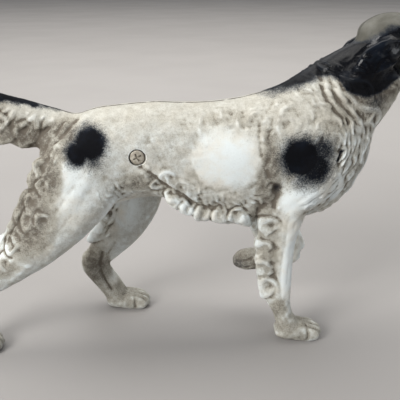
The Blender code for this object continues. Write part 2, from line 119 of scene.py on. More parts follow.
# The trunk's stations are (x, top, bottom, half width)
TRUNK = [
    (-92, 140, 112, 9), (-86, 150, 102, 18), (-74, 157, 95, 25), (-55, 163.5, 95, 28.5),
    (-35, 166, 101, 28), (-15, 167.5, 103, 27.5), (5, 166.8, 96, 29.5), (30, 168.4, 89, 31.5),
    (55, 174, 86, 32), (80, 184, 86, 31), (98, 189, 92, 28.5), (112, 180, 106, 23.5), (121, 166, 120, 16.5),
    (125, 154, 132, 8),
]
FORE_UPPER = [
    (86, 19, 138, 21, 12), (79, 23, 119, 17.5, 11.5), (72, 23.2, 104, 12.5, 9.6), (70, 22, 90, 7.5, 6.6),
]
RIGHT_FOREARM = [
    (72.5, -23, 108, 13.5, 10.6), (71, -22.6, 95, 10.6, 9.6), (69.6, -22, 76, 7.6, 7.8), (69.4, -21.5, 56, 7, 7.2),
    (69, -21.5, 39, 7.3, 7.2), (70, -21.5, 26, 6.8, 6.8), (72.5, -21.5, 16, 7, 7.6), (77, -21.5, 9, 7, 9),
]
RIGHT_FORE_FEATHER = [
    (64, -22, 106, 9, 7), (60, -21.5, 90, 9, 6.4), (59.6, -21.5, 73, 8, 5.6), (59, -21.5, 56, 8.4, 5),
    (60.5, -21.5, 42, 7, 4.6), (64, -21.5, 30, 5.4, 4.2), (69, -21.5, 19, 4, 4),
]
LEFT_FOREARM = [
    (67, 22, 105, 11, 9), (70, 21, 89, 9.5, 8), (77, 19, 73, 8, 7.2), (84, 17.6, 59, 7.4, 7),
    (88, 17, 50, 6.6, 7),
]
LEFT_PAW = [
    (88.5, 17, 49, 5.6, 6.6), (80, 17, 44.5, 7.4, 7), (68, 17, 42, 7.8, 7.6), (57, 17, 42.6, 8.4, 9),
    (48, 17, 42.4, 7.8, 9.4), (42, 17, 41.4, 5.4, 7), (38.6, 17, 41, 2.8, 4),
]
LEFT_FORE_FEATHER = [
    (61, 21, 98, 8, 6), (59.5, 20, 83, 7, 5), (61.5, 19, 68, 6.5, 4.4), (68, 18, 57, 5, 3.6),
]
RIGHT_THIGH = [
    (-58, -13, 141, 25, 13), (-64, -20, 121, 26.5, 13), (-76, -24, 102, 22.6, 12), (-90, -26, 84, 17.6, 10.6),
    (-106, -27.4, 69, 13.4, 9.2), (-124, -28.4, 55.5, 10.2, 8), (-140, -29, 46, 8.4, 7),
    (-149, -29, 41, 8, 6.8),
]
RIGHT_SHIN = [
    (-152, -29, 53, 6, 5.6), (-152.5, -29, 41, 8.2, 6.8), (-151.5, -29, 28, 7, 6.4), (-150, -29, 16, 7, 7),
    (-147, -29, 8, 7.4, 8.6),
]
LEFT_THIGH = [
    (-50, 14, 138, 24, 13), (-40, 20, 119, 24, 14), (-34.4, 24, 101, 22, 13.4), (-36.6, 25, 84, 19, 11.6),
    (-45.6, 24.4, 66, 15.4, 9.8), (-56, 24, 53, 12.4, 8.2), (-65, 24, 43, 10, 7.2),
]
LEFT_SHIN = [
    (-71, 24, 48, 5.6, 5.6), (-67.8, 24, 37, 10.4, 7.4), (-61.4, 24, 26, 10, 7.2), (-55.5, 24, 17, 9.2, 7.4),
    (-51.5, 24, 9, 8.4, 8.8),
]
# A standing foot from heel to toe, and its toes: (x from the foot's middle, y from it, z, depth, width)
FOOT = [
    (-17, 0, 4.6, 3.8, 5.8), (-11, 0, 5.6, 6.8, 8.4), (-2, 0, 6, 7.4, 9.8), (6, 0, 4.6, 6, 9.6),
    (9, 0, 3, 3.4, 6),
]
TOES = [(-7.2, 3.0), (-2.6, 0.0), (2.6, 0.0), (7.2, 3.0)]
TOE = [
    (0, 0, 6.2, 5.6, 2.7), (6, 0, 5.4, 5.9, 2.6), (12, 0, 4.5, 5.0, 2.5), (15.4, 0, 3.2, 3.6, 2.2),
    (17, 0, 2.4, 1.8, 1.2),
]
STANDING_FEET = [(83, -21.5), (-142.5, -29.5), (-42.5, 24)]

# Fur rows: (roots, count, (first, last) direction in degrees, length, half width, bend in degrees,
# height, and how far a lock is dished). Roots are (x, z) in the side view; 0 degrees points to the
# nose, 90 degrees up. Rows that stand out of the outline begin with (y at the root, y at the tip), and
# their height is half the lock's thickness.
PROUD_ROWS = {
    "tail": ((0, 0), [(-85, 149), (-101, 151.5), (-120, 157.5), (-140, 168), (-162, 182)], 8,
             (-118, -174), 18, 6.2, -36, 4.2, 0.5),
    "right_buttock": ((-22, -21), [(-84, 137), (-91, 121), (-97, 105), (-107, 88), (-121, 71)], 7,
                      (-112, -146), 17, 6.4, 40, 4.8, 0.8),
    "left_buttock": ((22, 20), [(-79, 132), (-64, 112), (-54, 95), (-52, 80), (-58, 68)], 6,
                     (-114, -130), 16, 6.4, 40, 4.8, 0.8),
    "right_elbow": ((-22.5, -20.5), [(61.5, 103), (57.5, 90), (57, 74), (57, 60), (60, 46)], 6,
                    (-116, -92), 13.5, 5.6, 50, 4.6, 0.5),
    "left_elbow": ((20, 19), [(57, 97), (56, 82), (58, 68)], 4, (-108, -92), 12, 4.8, 36, 3.8, 0.8),
    "right_belly": ((-23, -12), [(-8, 110), (7, 103), (24, 98.5), (41, 98)], 11,
                    (-36, -48), 14, 4.6, 74, 4.4, 0.2),
    "left_belly": ((23, 12), [(-8, 110), (7, 103), (24, 98.5), (41, 98)], 11,
                   (-36, -48), 14, 4.6, 74, 4.4, 0.2),
}
BODY_FUR = {
    "chest edge": ([(98, 188), (110, 174), (117, 158), (119, 141), (115, 124), (108, 111), (101, 103)], 12,
                   (-50, -148), 25, 2.4, -44, 1.5),
    "chest middle": ([(91, 180), (103, 167), (110, 151), (111, 134), (107, 119), (101, 110), (95, 105)], 8,
                     (-42, -140), 24, 2.5, -48, 1.3),
    "throat": ([(108, 179), (116, 178), (124, 180), (133, 186)], 6, (-62, -38), 17, 2.2, -22, 0.9),
    "behind shoulder": ([(60, 166), (57, 150), (56, 136), (59, 122)], 5, (-118, -80), 15, 3.2, 70, 0.6),
    "crease curls": ([(-19, 132), (-8, 125), (2, 118), (9, 111)], 5, (-78, -30), 14, 3.0, 150, 1.1),
    "belly mid": ([(-4, 110), (12, 106), (30, 104), (48, 106)], 6, (-46, -72), 18, 3.4, 90, 1.0),
    "tail side": ([(-80, 156), (-96, 159), (-112, 163), (-130, 169), (-148, 176), (-166, 184)], 7,
                  (-112, -160), 21, 3.8, -40, 1.4),
    "ear": ([(131, 208), (126, 203), (121, 197)], 4, (-152, -134), 23, 2.1, 30, 0.8),
}
RIGHT_FUR = {
    "buttock": ([(-83, 136), (-89, 122), (-94, 108), (-102, 93), (-113, 78)], 6,
                (-108, -144), 15, 4.2, 60, 1.1, 0.6),
    "hock": ([(-112, 70), (-124, 60), (-136, 52)], 4, (-140, -150), 14, 2.2, 20, 0.5),
}
LEFT_FUR = {
    "buttock": ([(-78, 132), (-65, 114), (-57, 98), (-54, 82), (-60, 67)], 6,
                (-108, -128), 14, 4.0, 56, 1.1, 0.6),
}
# Combed fur: (guide line, reach to its right and to its left, turn of the locks from the line in
# degrees, length, width, height). A lock points along the guide line before it is turned.
BODY_COMBED = [
    ([(86, 190), (103, 177), (114, 160), (117, 142), (112, 124), (102, 108), (86, 98)],
     26, 12, 0, 17, 3.3, 1.3),
    ([(76, 180), (84, 170), (86, 158), (82, 148)], 14, 12, 0, 15, 3.6, 0.8),
    ([(106, 190), (119, 176), (126, 160)], 9, 12, 8, 15, 3.2, 0.8),
    ([(-12, 117), (10, 108), (30, 104), (52, 106)], 14, 13, -48, 11, 4.0, 0.9),
    ([(60, 172), (56, 152), (55, 132), (58, 106)], 8, 9, -32, 11, 4.6, 0.55),
    ([(-50, 112), (-32, 117), (-14, 123)], 10, 9, -66, 9, 3.4, 0.7),
    ([(-72, 151), (-100, 158), (-130, 168), (-172, 187)], 6, 17, 58, 15, 4.8, 1.5),
    ([(132, 208), (121, 198), (108, 184)], 8, 8, 0, 15, 3.0, 0.6),
]
RIGHT_COMBED = [
    ([(-82, 142), (-91, 120), (-103, 94), (-124, 66)], 11, 11, -14, 12, 4.6, 1.0),
]
LEFT_COMBED = [
    ([(-76, 136), (-61, 112), (-53, 92), (-60, 64)], 11, 10, -14, 12, 4.4, 1.0),
    ([(62, 104), (60, 86), (63, 66)], 6, 7, -20, 10, 4.4, 0.7),
]
# Single curls: (x, z, direction, length, half width, bend, height)
CURLS = [
    (63, 151, 60, 24, 2.6, -120, 0.8), (84, 156, -6, 20, 2.8, -130, 0.7), (92, 152, -50, 16, 2.4, -110, 0.8),
    (96, 124, -60, 13, 2.0, -170, 1.1), (80, 103, -10, 13, 1.8, -230, 1.2), (90, 102, 20, 12, 1.8, -220, 1.0),
    (14, 104, -60, 22, 2.6, 200, 1.2), (61, 121, -150, 14, 2.2, 190, 1.2), (14, 163, -70, 18, 2.4, 130, 0.6),
    (25, 164, -30, 15, 2.6, 170, 0.7), (37, 164, -60, 17, 2.6, 150, 0.7), (48, 165, -110, 16, 2.6, 120, 0.6),
    (101, 184, 20, 33, 1.0, 14, 1.0), (-12, 122, 10, 15, 2.6, -190, 1.1), (-3, 116, 0, 15, 2.6, -200, 1.1),
]
# Curled lobes, each a raised rim round a low middle and open on one side: (x, z, radius, direction
# in degrees of the open side)
RIGHT_LOBES = [
    (58.5, 90, 6.0, -50), (55.5, 72, 6.8, -40), (55, 57.5, 6.2, -60), (60, 43, 6.6, -70),
    (-86.5, 131, 4.4, -30), (-85.5, 120.5, 4.2, -60), (-93, 110, 5.6, -20), (-87, 100, 4.4, -50),
    (-97.5, 98.5, 5.0, 10), (-104, 86.5, 4.6, -40), (-110, 82, 4.4, 0), (-114, 70, 4.4, -30),
]
LEFT_LOBES = [
    (-61, 112, 5.0, -30), (-54, 97, 5.0, 0), (-53, 82, 4.6, -40), (59.5, 86, 5.2, -40), (60.5, 73, 5.0, -60),
]
BODY_LOBES = [
    (4, 103, 4.4, 20), (14, 98.5, 4.8, -10), (25, 97, 5.0, 20), (37, 97.5, 5.0, -20),
    (-6, 112, 4.0, 0), (-16, 119, 3.6, 20),
    (-100, 151, 5.2, -60), (-114, 155, 5.4, -80), (-128, 162, 5.0, -60),
]
# Creases: (points in the side view, half width, depth)
BODY_CREASES = [
    ([(-63, 161), (-69, 155), (-74, 150), (-80, 146), (-88, 139)], 1.5, 1.7),
    ([(-25, 132), (-16, 124), (-9.7, 118), (0.8, 112), (7, 106)], 1.5, 1.3),
    ([(57, 160), (54, 151), (56, 143), (52.6, 133), (56, 125), (61, 116), (60, 104)], 2.0, 0.8),
    ([(49, 158), (48.6, 148), (50, 140)], 1.4, 0.5),
    ([(86, 187), (88, 177), (94, 167), (104, 159)], 1.4, 1.6),
    ([(92, 186), (94, 177), (100, 168), (110, 160)], 1.3, 1.3),
    ([(98, 184), (101, 176), (107, 167), (116, 159)], 1.3, 1.2),
    ([(96, 143), (100, 139), (99, 132)], 1.3, 0.9),
    ([(6, 134), (12, 122), (22, 116.5), (35, 115.5), (47, 121), (53, 133)], 1.8, 0.35),
    ([(-84, 152), (-92, 148), (-98, 140)], 1.8, 1.0),
    ([(-70, 151), (-78, 148)], 3.0, 1.0),
    ([(147, 194), (154, 193.6), (162, 194.8), (170, 197.8)], 0.9, 1.0),
    ([(121.6, 199), (124, 203.4), (128.6, 205.4), (134, 204)], 0.9, 0.8),
    ([(124.6, 197), (128.6, 195.4), (133.6, 197)], 0.8, 0.5),
    ([(87, 15), (88.5, 9), (88.5, 2)], 0.9, 1.1), ([(-138, 15), (-137, 9), (-137, 2)], 0.9, 1.1),
    ([(-38, 15), (-37, 9), (-37, 2)], 0.9, 1.1),
]
RIGHT_CREASES = [
    ([(-56, 120), (-69, 103), (-83, 87)], 1.8, 0.3),
    ([(-84, 84), (-96, 74), (-112, 62)], 1.6, 0.3),
    ([(-66, 122), (-77, 108), (-88, 94)], 1.4, 0.25),
    ([(74, 94), (72.6, 72), (72, 46)], 0.9, 0.35),
    ([(68.6, 84), (67.4, 60), (68, 36)], 0.9, 0.35),
    ([(-150, 40), (-148, 26), (-145, 16)], 1.0, 0.5),
]
LEFT_CREASES = [
    ([(-44, 120), (-38, 98), (-42, 74)], 1.6, 0.25),
    ([(-60, 50), (-62, 39), (-60, 28), (-55, 18)], 1.5, 1.5),
    ([(-50, 58), (-56, 46), (-54, 34)], 1.6, 0.7),
    ([(74, 88), (80, 68), (85, 54)], 0.9, 0.5),
    ([(52, 47), (46, 45), (41, 44)], 0.8, 1.2), ([(50, 40), (45, 38.6), (40.6, 39)], 0.8, 1.0),
]
# Swellings and pits: (x, z, radius in x, radius in z, height)
SWELLINGS = [
    (31, 136, 19, 17, 0.9), (-52, 150, 15, 12, 0.7), (80, 150, 17, 14, 0.6), (61, 117.5, 3.4, 3.8, -2.2),
    (15, 101, 2.4, 3.0, -1.2), (82, 99.5, 2.0, 2.0, -1.0), (91, 102.5, 1.6, 1.6, -0.8),
    (-90, 115, 2.6, 3.0, -1.2), (-87, 124, 2.2, 2.2, -0.8), (175.2, 206, 1.5, 1.2, -0.9),
    (64, 158, 2.8, 2.0, -0.7), (88, 149, 2.6, 4.0, -0.8), (24, 158, 3.2, 1.8, -0.7), (41, 156.5, 4, 1.8, -0.6),
]
# Hip, thigh, loin and the front of the foreleg, where fur dies out: (x, z, radius in x, radius in z)
SMOOTH_PLACES = [(-56, 146, 16, 14), (-68, 104, 12, 20), (-36, 152, 18, 12), (77, 90, 9, 14)]
# Where the surface is kept crisp: (x, z, radius)
CRISP_PLACES = [(83, 5, 26), (-142, 5, 26), (-42, 5, 26), (45, 42, 16), (133, 200, 14), (172, 203, 10)]

# Neighbouring points further apart than this across the strands belong to different locks
STRAND_STEP = 1.3

# Paint. The black of head and neck reaches down to this line, (x, z)
HEAD_BORDER = [
    (44, 178), (50, 173), (60, 173), (75, 178), (85, 183), (93, 185), (98, 183), (102, 176), (109, 174),
    (116, 173), (124, 175.5), (131, 181), (138, 185.5), (146, 184), (182, 176),
]
# The pale blaze on the skull: (x, half width)
BLAZE = [(104, 0), (110, 6), (116, 11), (124, 13.5), (134, 13), (144, 9), (156, 6.5), (168, 5), (172, 0)]
# The black strip along the tail: (x, z of its lower edge)
TAIL_STRIP = [(-182, 185.4), (-160, 181), (-142, 176.4), (-125, 171.5), (-108, 167.8), (-92, 165), (-76, 162.4),
              (-66, 163)]
# Round black patches on each flank, and soft black spots under the head at (121, 170) and (106, 171) that are painted
# shade on the throat: (x, z, radius, how soft the edge is, how dense)
BLACK_PATCHES_AND_THROAT_SHADE = [
    (67, 149, 3.2, 3.0, 0.62), (91, 148, 3.6, 3.0, 0.68), (61, 117.5, 3.6, 3.0, 0.62),
    (-56, 146, 11.6, 5.0, 1.0), (-64, 140.5, 8.5, 4.0, 1.0), (-54, 137, 8.5, 6.0, 0.7),
    (75, 138, 14.5, 6.0, 1.0), (84, 132, 13.5, 7.0, 0.88), (87, 141, 12.0, 7.5, 0.8),
    (77, 126, 10.0, 7.0, 0.74), (121, 170, 9.0, 8.0, 0.62), (106, 171, 4.0, 6.0, 0.45),
]
# The glossy barrel and other places that stayed clean: (x, z, radius in x, radius in z)
BARREL = (28, 137, 25, 19)
CLEAN_PLACES = [(-70, 118, 20, 26, 0.34), (-100, 84, 24, 16, 0.4), (80, 108, 20, 12), (-40, 90, 14, 24, 0.5),
                (74, 84, 6, 26), (71, 56, 4.6, 26), (98, 117, 9, 14)]
# Soiled places, darkened for dirt; the place under the throat at (122, 177) is painted shade: (x, z, radius in x,
# radius in z, how much)
SOIL_AND_SHADE_PLACES = [
    (-28, 121, 19, 12, 1.25), (55, 126, 12, 44, 1.7), (24, 103, 46, 21, 0.8), (-5, 118, 16, 12, 0.9),
    (-98, 144, 40, 20, 1.9), (-100, 106, 30, 48, 1.8), (100, 165, 24, 22, 1.0), (115, 128, 14, 38, 0.85),
    (30, 160, 34, 9, 0.85), (54, 70, 17, 50, 1.0), (84, 99, 20, 9, 0.6), (-20, 142, 14, 14, 0.6),
    (-74, 152, 16, 10, 1.7), (-150, 168, 56, 24, 2.0), (68, 164, 16, 9, 0.7), (94, 150, 15, 24, 0.9),
    (0, 146, 24, 22, 0.75), (-118, 66, 22, 14, 1.1), (122, 177, 26, 13, 2.0), (-10, 165, 76, 6, 0.65),
    (52, 100, 16, 14, 1.2), (-82, 128, 12, 22, 1.8), (67, 25, 9, 15, 1.5),
]
# Soiled places of the left, far side only, darkened both for dirt and as painted shade of the body on the far legs
LEFT_SOIL_AND_SHADE = [(46, 42, 28, 16, 2.0), (-66, 38, 18, 30, 1.8), (-50, 14, 30, 18, 1.3), (62, 76, 14, 34, 1.0)]


class CastingSizes(bpy.types.PropertyGroup):
    """How finely and how deeply the halves are carved, and their paint."""

    grid: FloatProperty(name="Grid", description="Cell of the grid that fuses the body's forms",
                        default=0.00089, min=0.0006, max=0.003, unit="LENGTH")
    joint_gap: FloatProperty(name="Joint gap", description="Open seam between the two halves",
                             default=0.0003, min=0.0001, max=0.001, unit="LENGTH")
    fur_depth: FloatProperty(name="Fur depth", description="Depth of the fur, as a share of the pattern's",
                             default=1.85, min=0.0, max=3.0)
    body_rounds: IntProperty(name="Body rounds", description="Rounds of smoothing on the body",
                             default=34, min=0, max=80)
    crisp_rounds: IntProperty(name="Crisp rounds", description="Rounds of smoothing everywhere",
                              default=8, min=0, max=40)
    bore_radius: FloatProperty(name="Recess radius", description="Radius of the recess round the screw",
                               default=0.0053, min=0.005, max=0.01, unit="LENGTH")
    white: FloatVectorProperty(name="White", description="Clean white enamel", subtype="COLOR",
                               size=3, default=(0.77, 0.825, 0.83), min=0.0, max=1.0)
    black: FloatVectorProperty(name="Black", description="Black enamel", subtype="COLOR",
                               size=3, default=(0.0022, 0.0026, 0.0042), min=0.0, max=1.0)
    grime: FloatVectorProperty(name="Grime", description="Brown grime in the hollows", subtype="COLOR",
                               size=3, default=(0.14, 0.115, 0.088), min=0.0, max=1.0)


class ScrewSizes(bpy.types.PropertyGroup):
    """The assembly screw."""

    slot_length: FloatProperty(name="Cross length", description="Length of the cross recess",
                               default=0.0054, min=0.002, max=0.008, unit="LENGTH")
    slot_width: FloatProperty(name="Cross width", description="Width of the cross recess",
                              default=0.0011, min=0.0004, max=0.002, unit="LENGTH")
    slot_depth: FloatProperty(name="Cross depth", description="Depth of the cross recess",
                              default=0.0009, min=0.0002, max=0.002, unit="LENGTH")
    dome: FloatProperty(name="Dome", description="How far the head's face swells",
                        default=0.0011, min=0.0, max=0.002, unit="LENGTH")
    head_height: FloatProperty(name="Head height", description="Height of the head",
                               default=0.0024, min=0.001, max=0.004, unit="LENGTH")
    shank: FloatProperty(name="Shank radius", description="Radius of the shank",
                         default=0.0024, min=0.001, max=0.004, unit="LENGTH")


class StageSizes(bpy.types.PropertyGroup):
    """Floor, lamps and camera."""

    floor_colour: FloatVectorProperty(name="Floor", description="Colour of the floor", subtype="COLOR",
                                      size=3, default=(0.33, 0.316, 0.308), min=0.0, max=1.0)
    floor_size: FloatProperty(name="Floor size", description="Side of the square floor",
                              default=30.0, min=1.0, max=60.0, unit="LENGTH")
    key_power: FloatProperty(name="Key lamp", description="Power of the large lamp, in watts",
                             default=15.5, min=0.0, max=500.0)
    fill_power: FloatProperty(name="Fill lamp", description="Power of the lamp on the other side, in watts",
                              default=2.5, min=0.0, max=500.0)
    floor_power: FloatProperty(name="Floor lamp", description="Power of the lamp over the far floor, in watts",
                               default=170.0, min=0.0, max=2000.0)
    room_light: FloatProperty(name="Room light", description="Strength of the even light all round",
                              default=0.28, min=0.0, max=3.0)
    camera_place: FloatVectorProperty(name="Camera", description="Place of the camera", subtype="TRANSLATION",
                                      size=3, default=(0.0004, -0.3608, 0.244), unit="LENGTH")
    camera_down: FloatProperty(name="Pitch", description="How far the camera looks down",
                               default=math.radians(22), subtype="ANGLE")
    camera_turn: FloatProperty(name="Yaw", description="How far the camera turns to the nose",
                               default=math.radians(2), subtype="ANGLE")
    lens: FloatProperty(name="Lens", description="Focal length in millimetres on a 36 mm sensor",
                        default=50.4, min=20.0, max=200.0)


# The forms and their carving


def smooth_path(stations, steps):
    """Catmull-Rom curve through the stations; every column is read at even steps of its parameter."""
    knots = np.asarray(stations, dtype=float)
    padded = np.vstack([2 * knots[0] - knots[1], knots, 2 * knots[-1] - knots[-2]])
    t = np.tile(np.linspace(0.0, 1.0, steps, endpoint=False), len(knots) - 1)[:, None]
    first = np.repeat(np.arange(len(knots) - 1), steps)
    a, b, c, d = (padded[first + i] for i in range(4))
    curve = 0.5 * (2 * b + (c - a) * t + (2 * a - 5 * b + 4 * c - d) * t ** 2
                   + (3 * b - a - 3 * c + d) * t ** 3)
    return np.vstack([curve, knots[-1:]])


def tube_rings(stations, steps=6, sides=28):
    """Rings of a body form: centre + depth * cos(a) * across + width * sin(a) * side, square to its path."""
    path = smooth_path(stations, steps)
    centre, depth, width = path[:, :3], path[:, 3:4], path[:, 4:5]
    tangent = np.gradient(centre, axis=0)
    tangent /= np.linalg.norm(tangent, axis=1)[:, None]
    across = np.cross(tangent, np.array([0.0, 1.0, 0.0]))
    across /= np.linalg.norm(across, axis=1)[:, None]
    side = np.cross(across, tangent)
    angle = np.linspace(0.0, 2 * math.pi, sides, endpoint=False)
    return (centre[:, None, :]
            + depth[:, None, :] * across[:, None, :] * np.cos(angle)[None, :, None]
            + width[:, None, :] * side[:, None, :] * np.sin(angle)[None, :, None])


def trunk_rings(steps=6, sides=40):
    """Upright rings of the trunk: y = width * sin(a), z = middle + half height * cos(a)."""
    x, top, bottom, width = smooth_path(TRUNK, steps).T[:, :, None]
    angle = np.linspace(0.0, 2 * math.pi, sides, endpoint=False)[None, :]
    rings = (x + 0 * angle, width * np.sin(angle), (top + bottom) / 2 + (top - bottom) / 2 * np.cos(angle))
    return np.stack(rings, axis=2)


def row_locks(row, wild=0.0):
    """The locks of a row along its root line, each with its own wander where wild is above 0.

    A lock is (x, z, direction, length, half width, bend, height, wave, dish).
    """
    roots, count, (first, last), length, half_width, bend, height, *dish = row
    line = smooth_path(roots, 12)
    along = np.concatenate([[0.0], np.cumsum(np.linalg.norm(np.diff(line, axis=0), axis=1))])
    beat = np.arange(count)
    share = beat / (count - 1)
    chance = np.random.default_rng(int(abs(17 * roots[0][0] + 31 * roots[0][1] + 7 * count)))
    luck = wild * chance.uniform(-1.0, 1.0, size=(8, count))
    spacing = along[-1] / (count - 1)
    x, z = (np.interp(share * along[-1] + 0.35 * spacing * luck[0], along, line[:, k]) for k in (0, 1))
    direction = first + (last - first) * share + 9.0 * np.sin(2.4 * beat) + 13.0 * luck[1]
    reach = length * (1 + 0.12 * np.cos(2.4 * beat) + 0.22 * luck[2])
    side = np.radians(direction + 90)
    x, z = x + 2.2 * luck[3] * np.cos(side), z + 2.2 * luck[3] * np.sin(side)
    dished = np.full(count, dish[0] if dish else 0.0)
    return list(zip(x, z, direction, reach, half_width * (1 + 0.25 * luck[4]), bend * (1 + 0.4 * luck[5]),
                    height * (1 + 0.35 * luck[6]), 34.0 * wild * (0.6 + luck[7]), dished))


def lock_line(lock, points):
    """Centre line of a lock: an arc in the side view that turns by bend from root to tip, and waves."""
    x, z, direction, length, _, bend, _, wave, _ = lock
    share = np.linspace(0.0, 1.0, points)
    angle = np.radians(direction + bend * (share - 0.5) + wave * np.sin(2 * math.pi * share))
    step = length / (points - 1)
    run = np.concatenate([[0.0], np.cumsum(np.cos(angle[:-1]))]) * step
    rise = np.concatenate([[0.0], np.cumsum(np.sin(angle[:-1]))]) * step
    return np.stack([x + run, z + rise], axis=1), share


def leaf(share):
    """Fullness of a lock along its length: rounded root, widest before the middle, pointed tip."""
    belly = 0.62 + 0.38 * np.sin(math.pi * np.sqrt(share))
    return np.sqrt(np.clip(1.0 - share ** 2.6, 0.0, 1.0)) * belly


def proud_rings(lock, sides_way):
    """Rings of a lock that stands out of the outline; sides_way is its y at the root and at the tip."""
    line, share = lock_line(lock, 6)
    full = np.maximum(leaf(share), 0.25)
    stations = np.column_stack([line[:, 0], np.linspace(*sides_way, 6), line[:, 1], lock[4] * full,
                                lock[6] * (0.4 + 0.6 * full)])
    return tube_rings(stations, steps=3, sides=16)


def moved(stations, x, y):
    """Stations carried to a place on the floor."""
    return [(x + a, y + b, c, depth, width) for a, b, c, depth, width in stations]


def mirrored(stations):
    """The same stations on the other side of the dog."""
    return [(x, -y, z, depth, width) for x, y, z, depth, width in stations]


def body_forms():
    """All the closed forms that are fused into the dog, as arrays of rings in millimetres."""
    forms = [trunk_rings()]
    for stations in (NECK, SKULL, MUZZLE, JAW, EAR, mirrored(EAR), EYEBALL, mirrored(EYEBALL), TAIL,
                     TAIL_FEATHER, FORE_UPPER, mirrored(FORE_UPPER), RIGHT_FOREARM, RIGHT_FORE_FEATHER,
                     LEFT_FOREARM, LEFT_PAW, LEFT_FORE_FEATHER, RIGHT_THIGH, RIGHT_SHIN, LEFT_THIGH,
                     LEFT_SHIN):
        forms.append(tube_rings(stations))
    for x, y in STANDING_FEET:
        forms.append(tube_rings(moved(FOOT, x, y)))
        for aside, back in TOES:
            forms.append(tube_rings(moved(TOE, x - back, y + aside), sides=16))
    for sides_way, *row in PROUD_ROWS.values():
        forms.extend(proud_rings(lock, sides_way) for lock in row_locks(row, 0.5))
    return forms


def tube_mesh(name, forms):
    """One mesh of closed tubes: quads between rings, and a fan at each end."""
    points, faces, start = [], [], 0
    for rings in forms:
        count, sides = rings.shape[:2]
        ring = np.arange(sides)
        after = (ring + 1) % sides
        row = start + sides * np.arange(count - 1)[:, None]
        quads = np.stack([row + ring, row + after, row + sides + after, row + sides + ring], axis=2)
        faces.extend(quads.reshape(-1, 4).tolist())
        ends = start + sides * count
        last = start + sides * (count - 1)
        faces.extend(np.stack([np.full(sides, ends), start + after, start + ring], axis=1).tolist())
        faces.extend(np.stack([np.full(sides, ends + 1), last + ring, last + after], axis=1).tolist())
        points.append(rings.reshape(-1, 3))
        points.append(rings[[0, -1]].mean(axis=1))
        start = ends + 2
    mesh = bpy.data.meshes.new(name)
    mesh.from_pydata((np.vstack(points) * MM).tolist(), [], faces)
    return mesh


def outward(data):
    """The mesh with all its faces pointing out."""
    mesh = bmesh.new()
    mesh.from_mesh(data)
    bmesh.ops.recalc_face_normals(mesh, faces=mesh.faces)
    mesh.to_mesh(data)
    mesh.free()
    return data


def new_object(name, mesh):
    """Link a mesh to the scene as an object."""
    thing = bpy.data.objects.new(name, mesh)
    bpy.context.scene.collection.objects.link(thing)
    return thing


def worked_out(thing):
    """The mesh of an object with its modifiers worked out."""
    graph = bpy.context.evaluated_depsgraph_get()
    graph.update()
    return bpy.data.meshes.new_from_object(thing.evaluated_get(graph))


def read(collection, key, width, kind=float):
    """A property of mesh elements as an array."""
    values = np.empty(len(collection) * width, dtype=kind)
    collection.foreach_get(key, values)
    return values.reshape(-1, width) if width > 1 else values


def relax(points, edges, rounds, strength):
    """Each round moves every point by strength of the way to the mean of its neighbours."""
    count = np.bincount(edges.ravel(), minlength=len(points))[:, None]
    for _ in range(rounds):
        total = np.stack([np.bincount(edges[:, 0], points[edges[:, 1], axis], len(points))
                          + np.bincount(edges[:, 1], points[edges[:, 0], axis], len(points))
                          for axis in range(3)], axis=1)
        points = points + strength * (total / count - points)
    return points


def spread(values, edges, rounds):
    """A value blurred over the surface, by the same averaging as relax."""
    count = np.bincount(edges.ravel(), minlength=len(values))
    for _ in range(rounds):
        total = (np.bincount(edges[:, 0], values[edges[:, 1]], len(values))
                 + np.bincount(edges[:, 1], values[edges[:, 0]], len(values)))
        values = values + 0.5 * (total / count - values)
    return values


def crisp_share(x, z):
    """1 in crisp places and along the proud fur, 0 on the body."""
    spots = list(CRISP_PLACES)
    for _, *row in PROUD_ROWS.values():
        for lock in row_locks(row, 0.5):
            line, _ = lock_line(lock, 3)
            spots.append((line[2, 0], line[2, 1], 7.0))
    crisp = np.zeros(len(x))
    for a, b, radius in spots:
        away = np.hypot(x - a, z - b) / radius
        crisp = np.maximum(crisp, np.clip(2.0 - 2.0 * away, 0.0, 1.0))
    return crisp


def fur_height(x, z, locks):
    """Height of the fur at side-view places, and how far across its lock each place lies.

    Each lock is a leaf: a round section with one edge higher and fine strands along it, rising from
    root to tip; a dished one is hollowed to a raised rim. Where locks overlap the highest wins.
    """
    height, across = np.zeros(len(x)), np.zeros(len(x))
    for lock in locks:
        curve, share = lock_line(lock, 12)
        half_width = lock[4]
        low, high = curve.min(axis=0) - half_width, curve.max(axis=0) + half_width
        near = np.flatnonzero((x > low[0]) & (x < high[0]) & (z > low[1]) & (z < high[1]))
        if not len(near):
            continue
        start, run = curve[:-1], np.diff(curve, axis=0)
        offset = np.stack([x[near], z[near]], axis=1)[:, None, :] - start[None]
        t = np.clip((offset * run).sum(axis=2) / (run ** 2).sum(axis=1), 0.0, 1.0)
        gap = offset - t[:, :, None] * run
        best = np.argmin((gap ** 2).sum(axis=2), axis=1)
        pick = np.arange(len(near))
        place = share[best] + t[pick, best] * (share[1] - share[0])
        full = leaf(place)
        turn = run[best, 0] * gap[pick, best, 1] - run[best, 1] * gap[pick, best, 0]
        distance = np.linalg.norm(gap[pick, best], axis=1)
        aside = np.sign(turn) * distance / (half_width * full + 1e-6)
        round_part = np.clip(1.0 - aside ** 2, 0.0, 1.0)
        dished = 1.0 - lock[8] * round_part ** 1.5 * np.clip(1.4 - 1.4 * place, 0.0, 1.0)
        section = np.sqrt(round_part) * (0.8 + 0.32 * aside) * dished
        strands = max(2.0, half_width)
        strand = 1.0 - 0.3 * (0.5 + 0.5 * np.cos(aside * math.pi * strands * 0.9 + 5.0 * place))
        rise = (0.4 + 0.6 * place ** 0.6) * np.sqrt(full)
        tall = lock[6] * section * strand * rise
        higher = tall > height[near]
        height[near[higher]] = tall[higher]
        across[near[higher]] = np.where(tall > 0.45, np.sign(turn) * distance + 1.4 * place, 0.0)[higher]
    return height, across


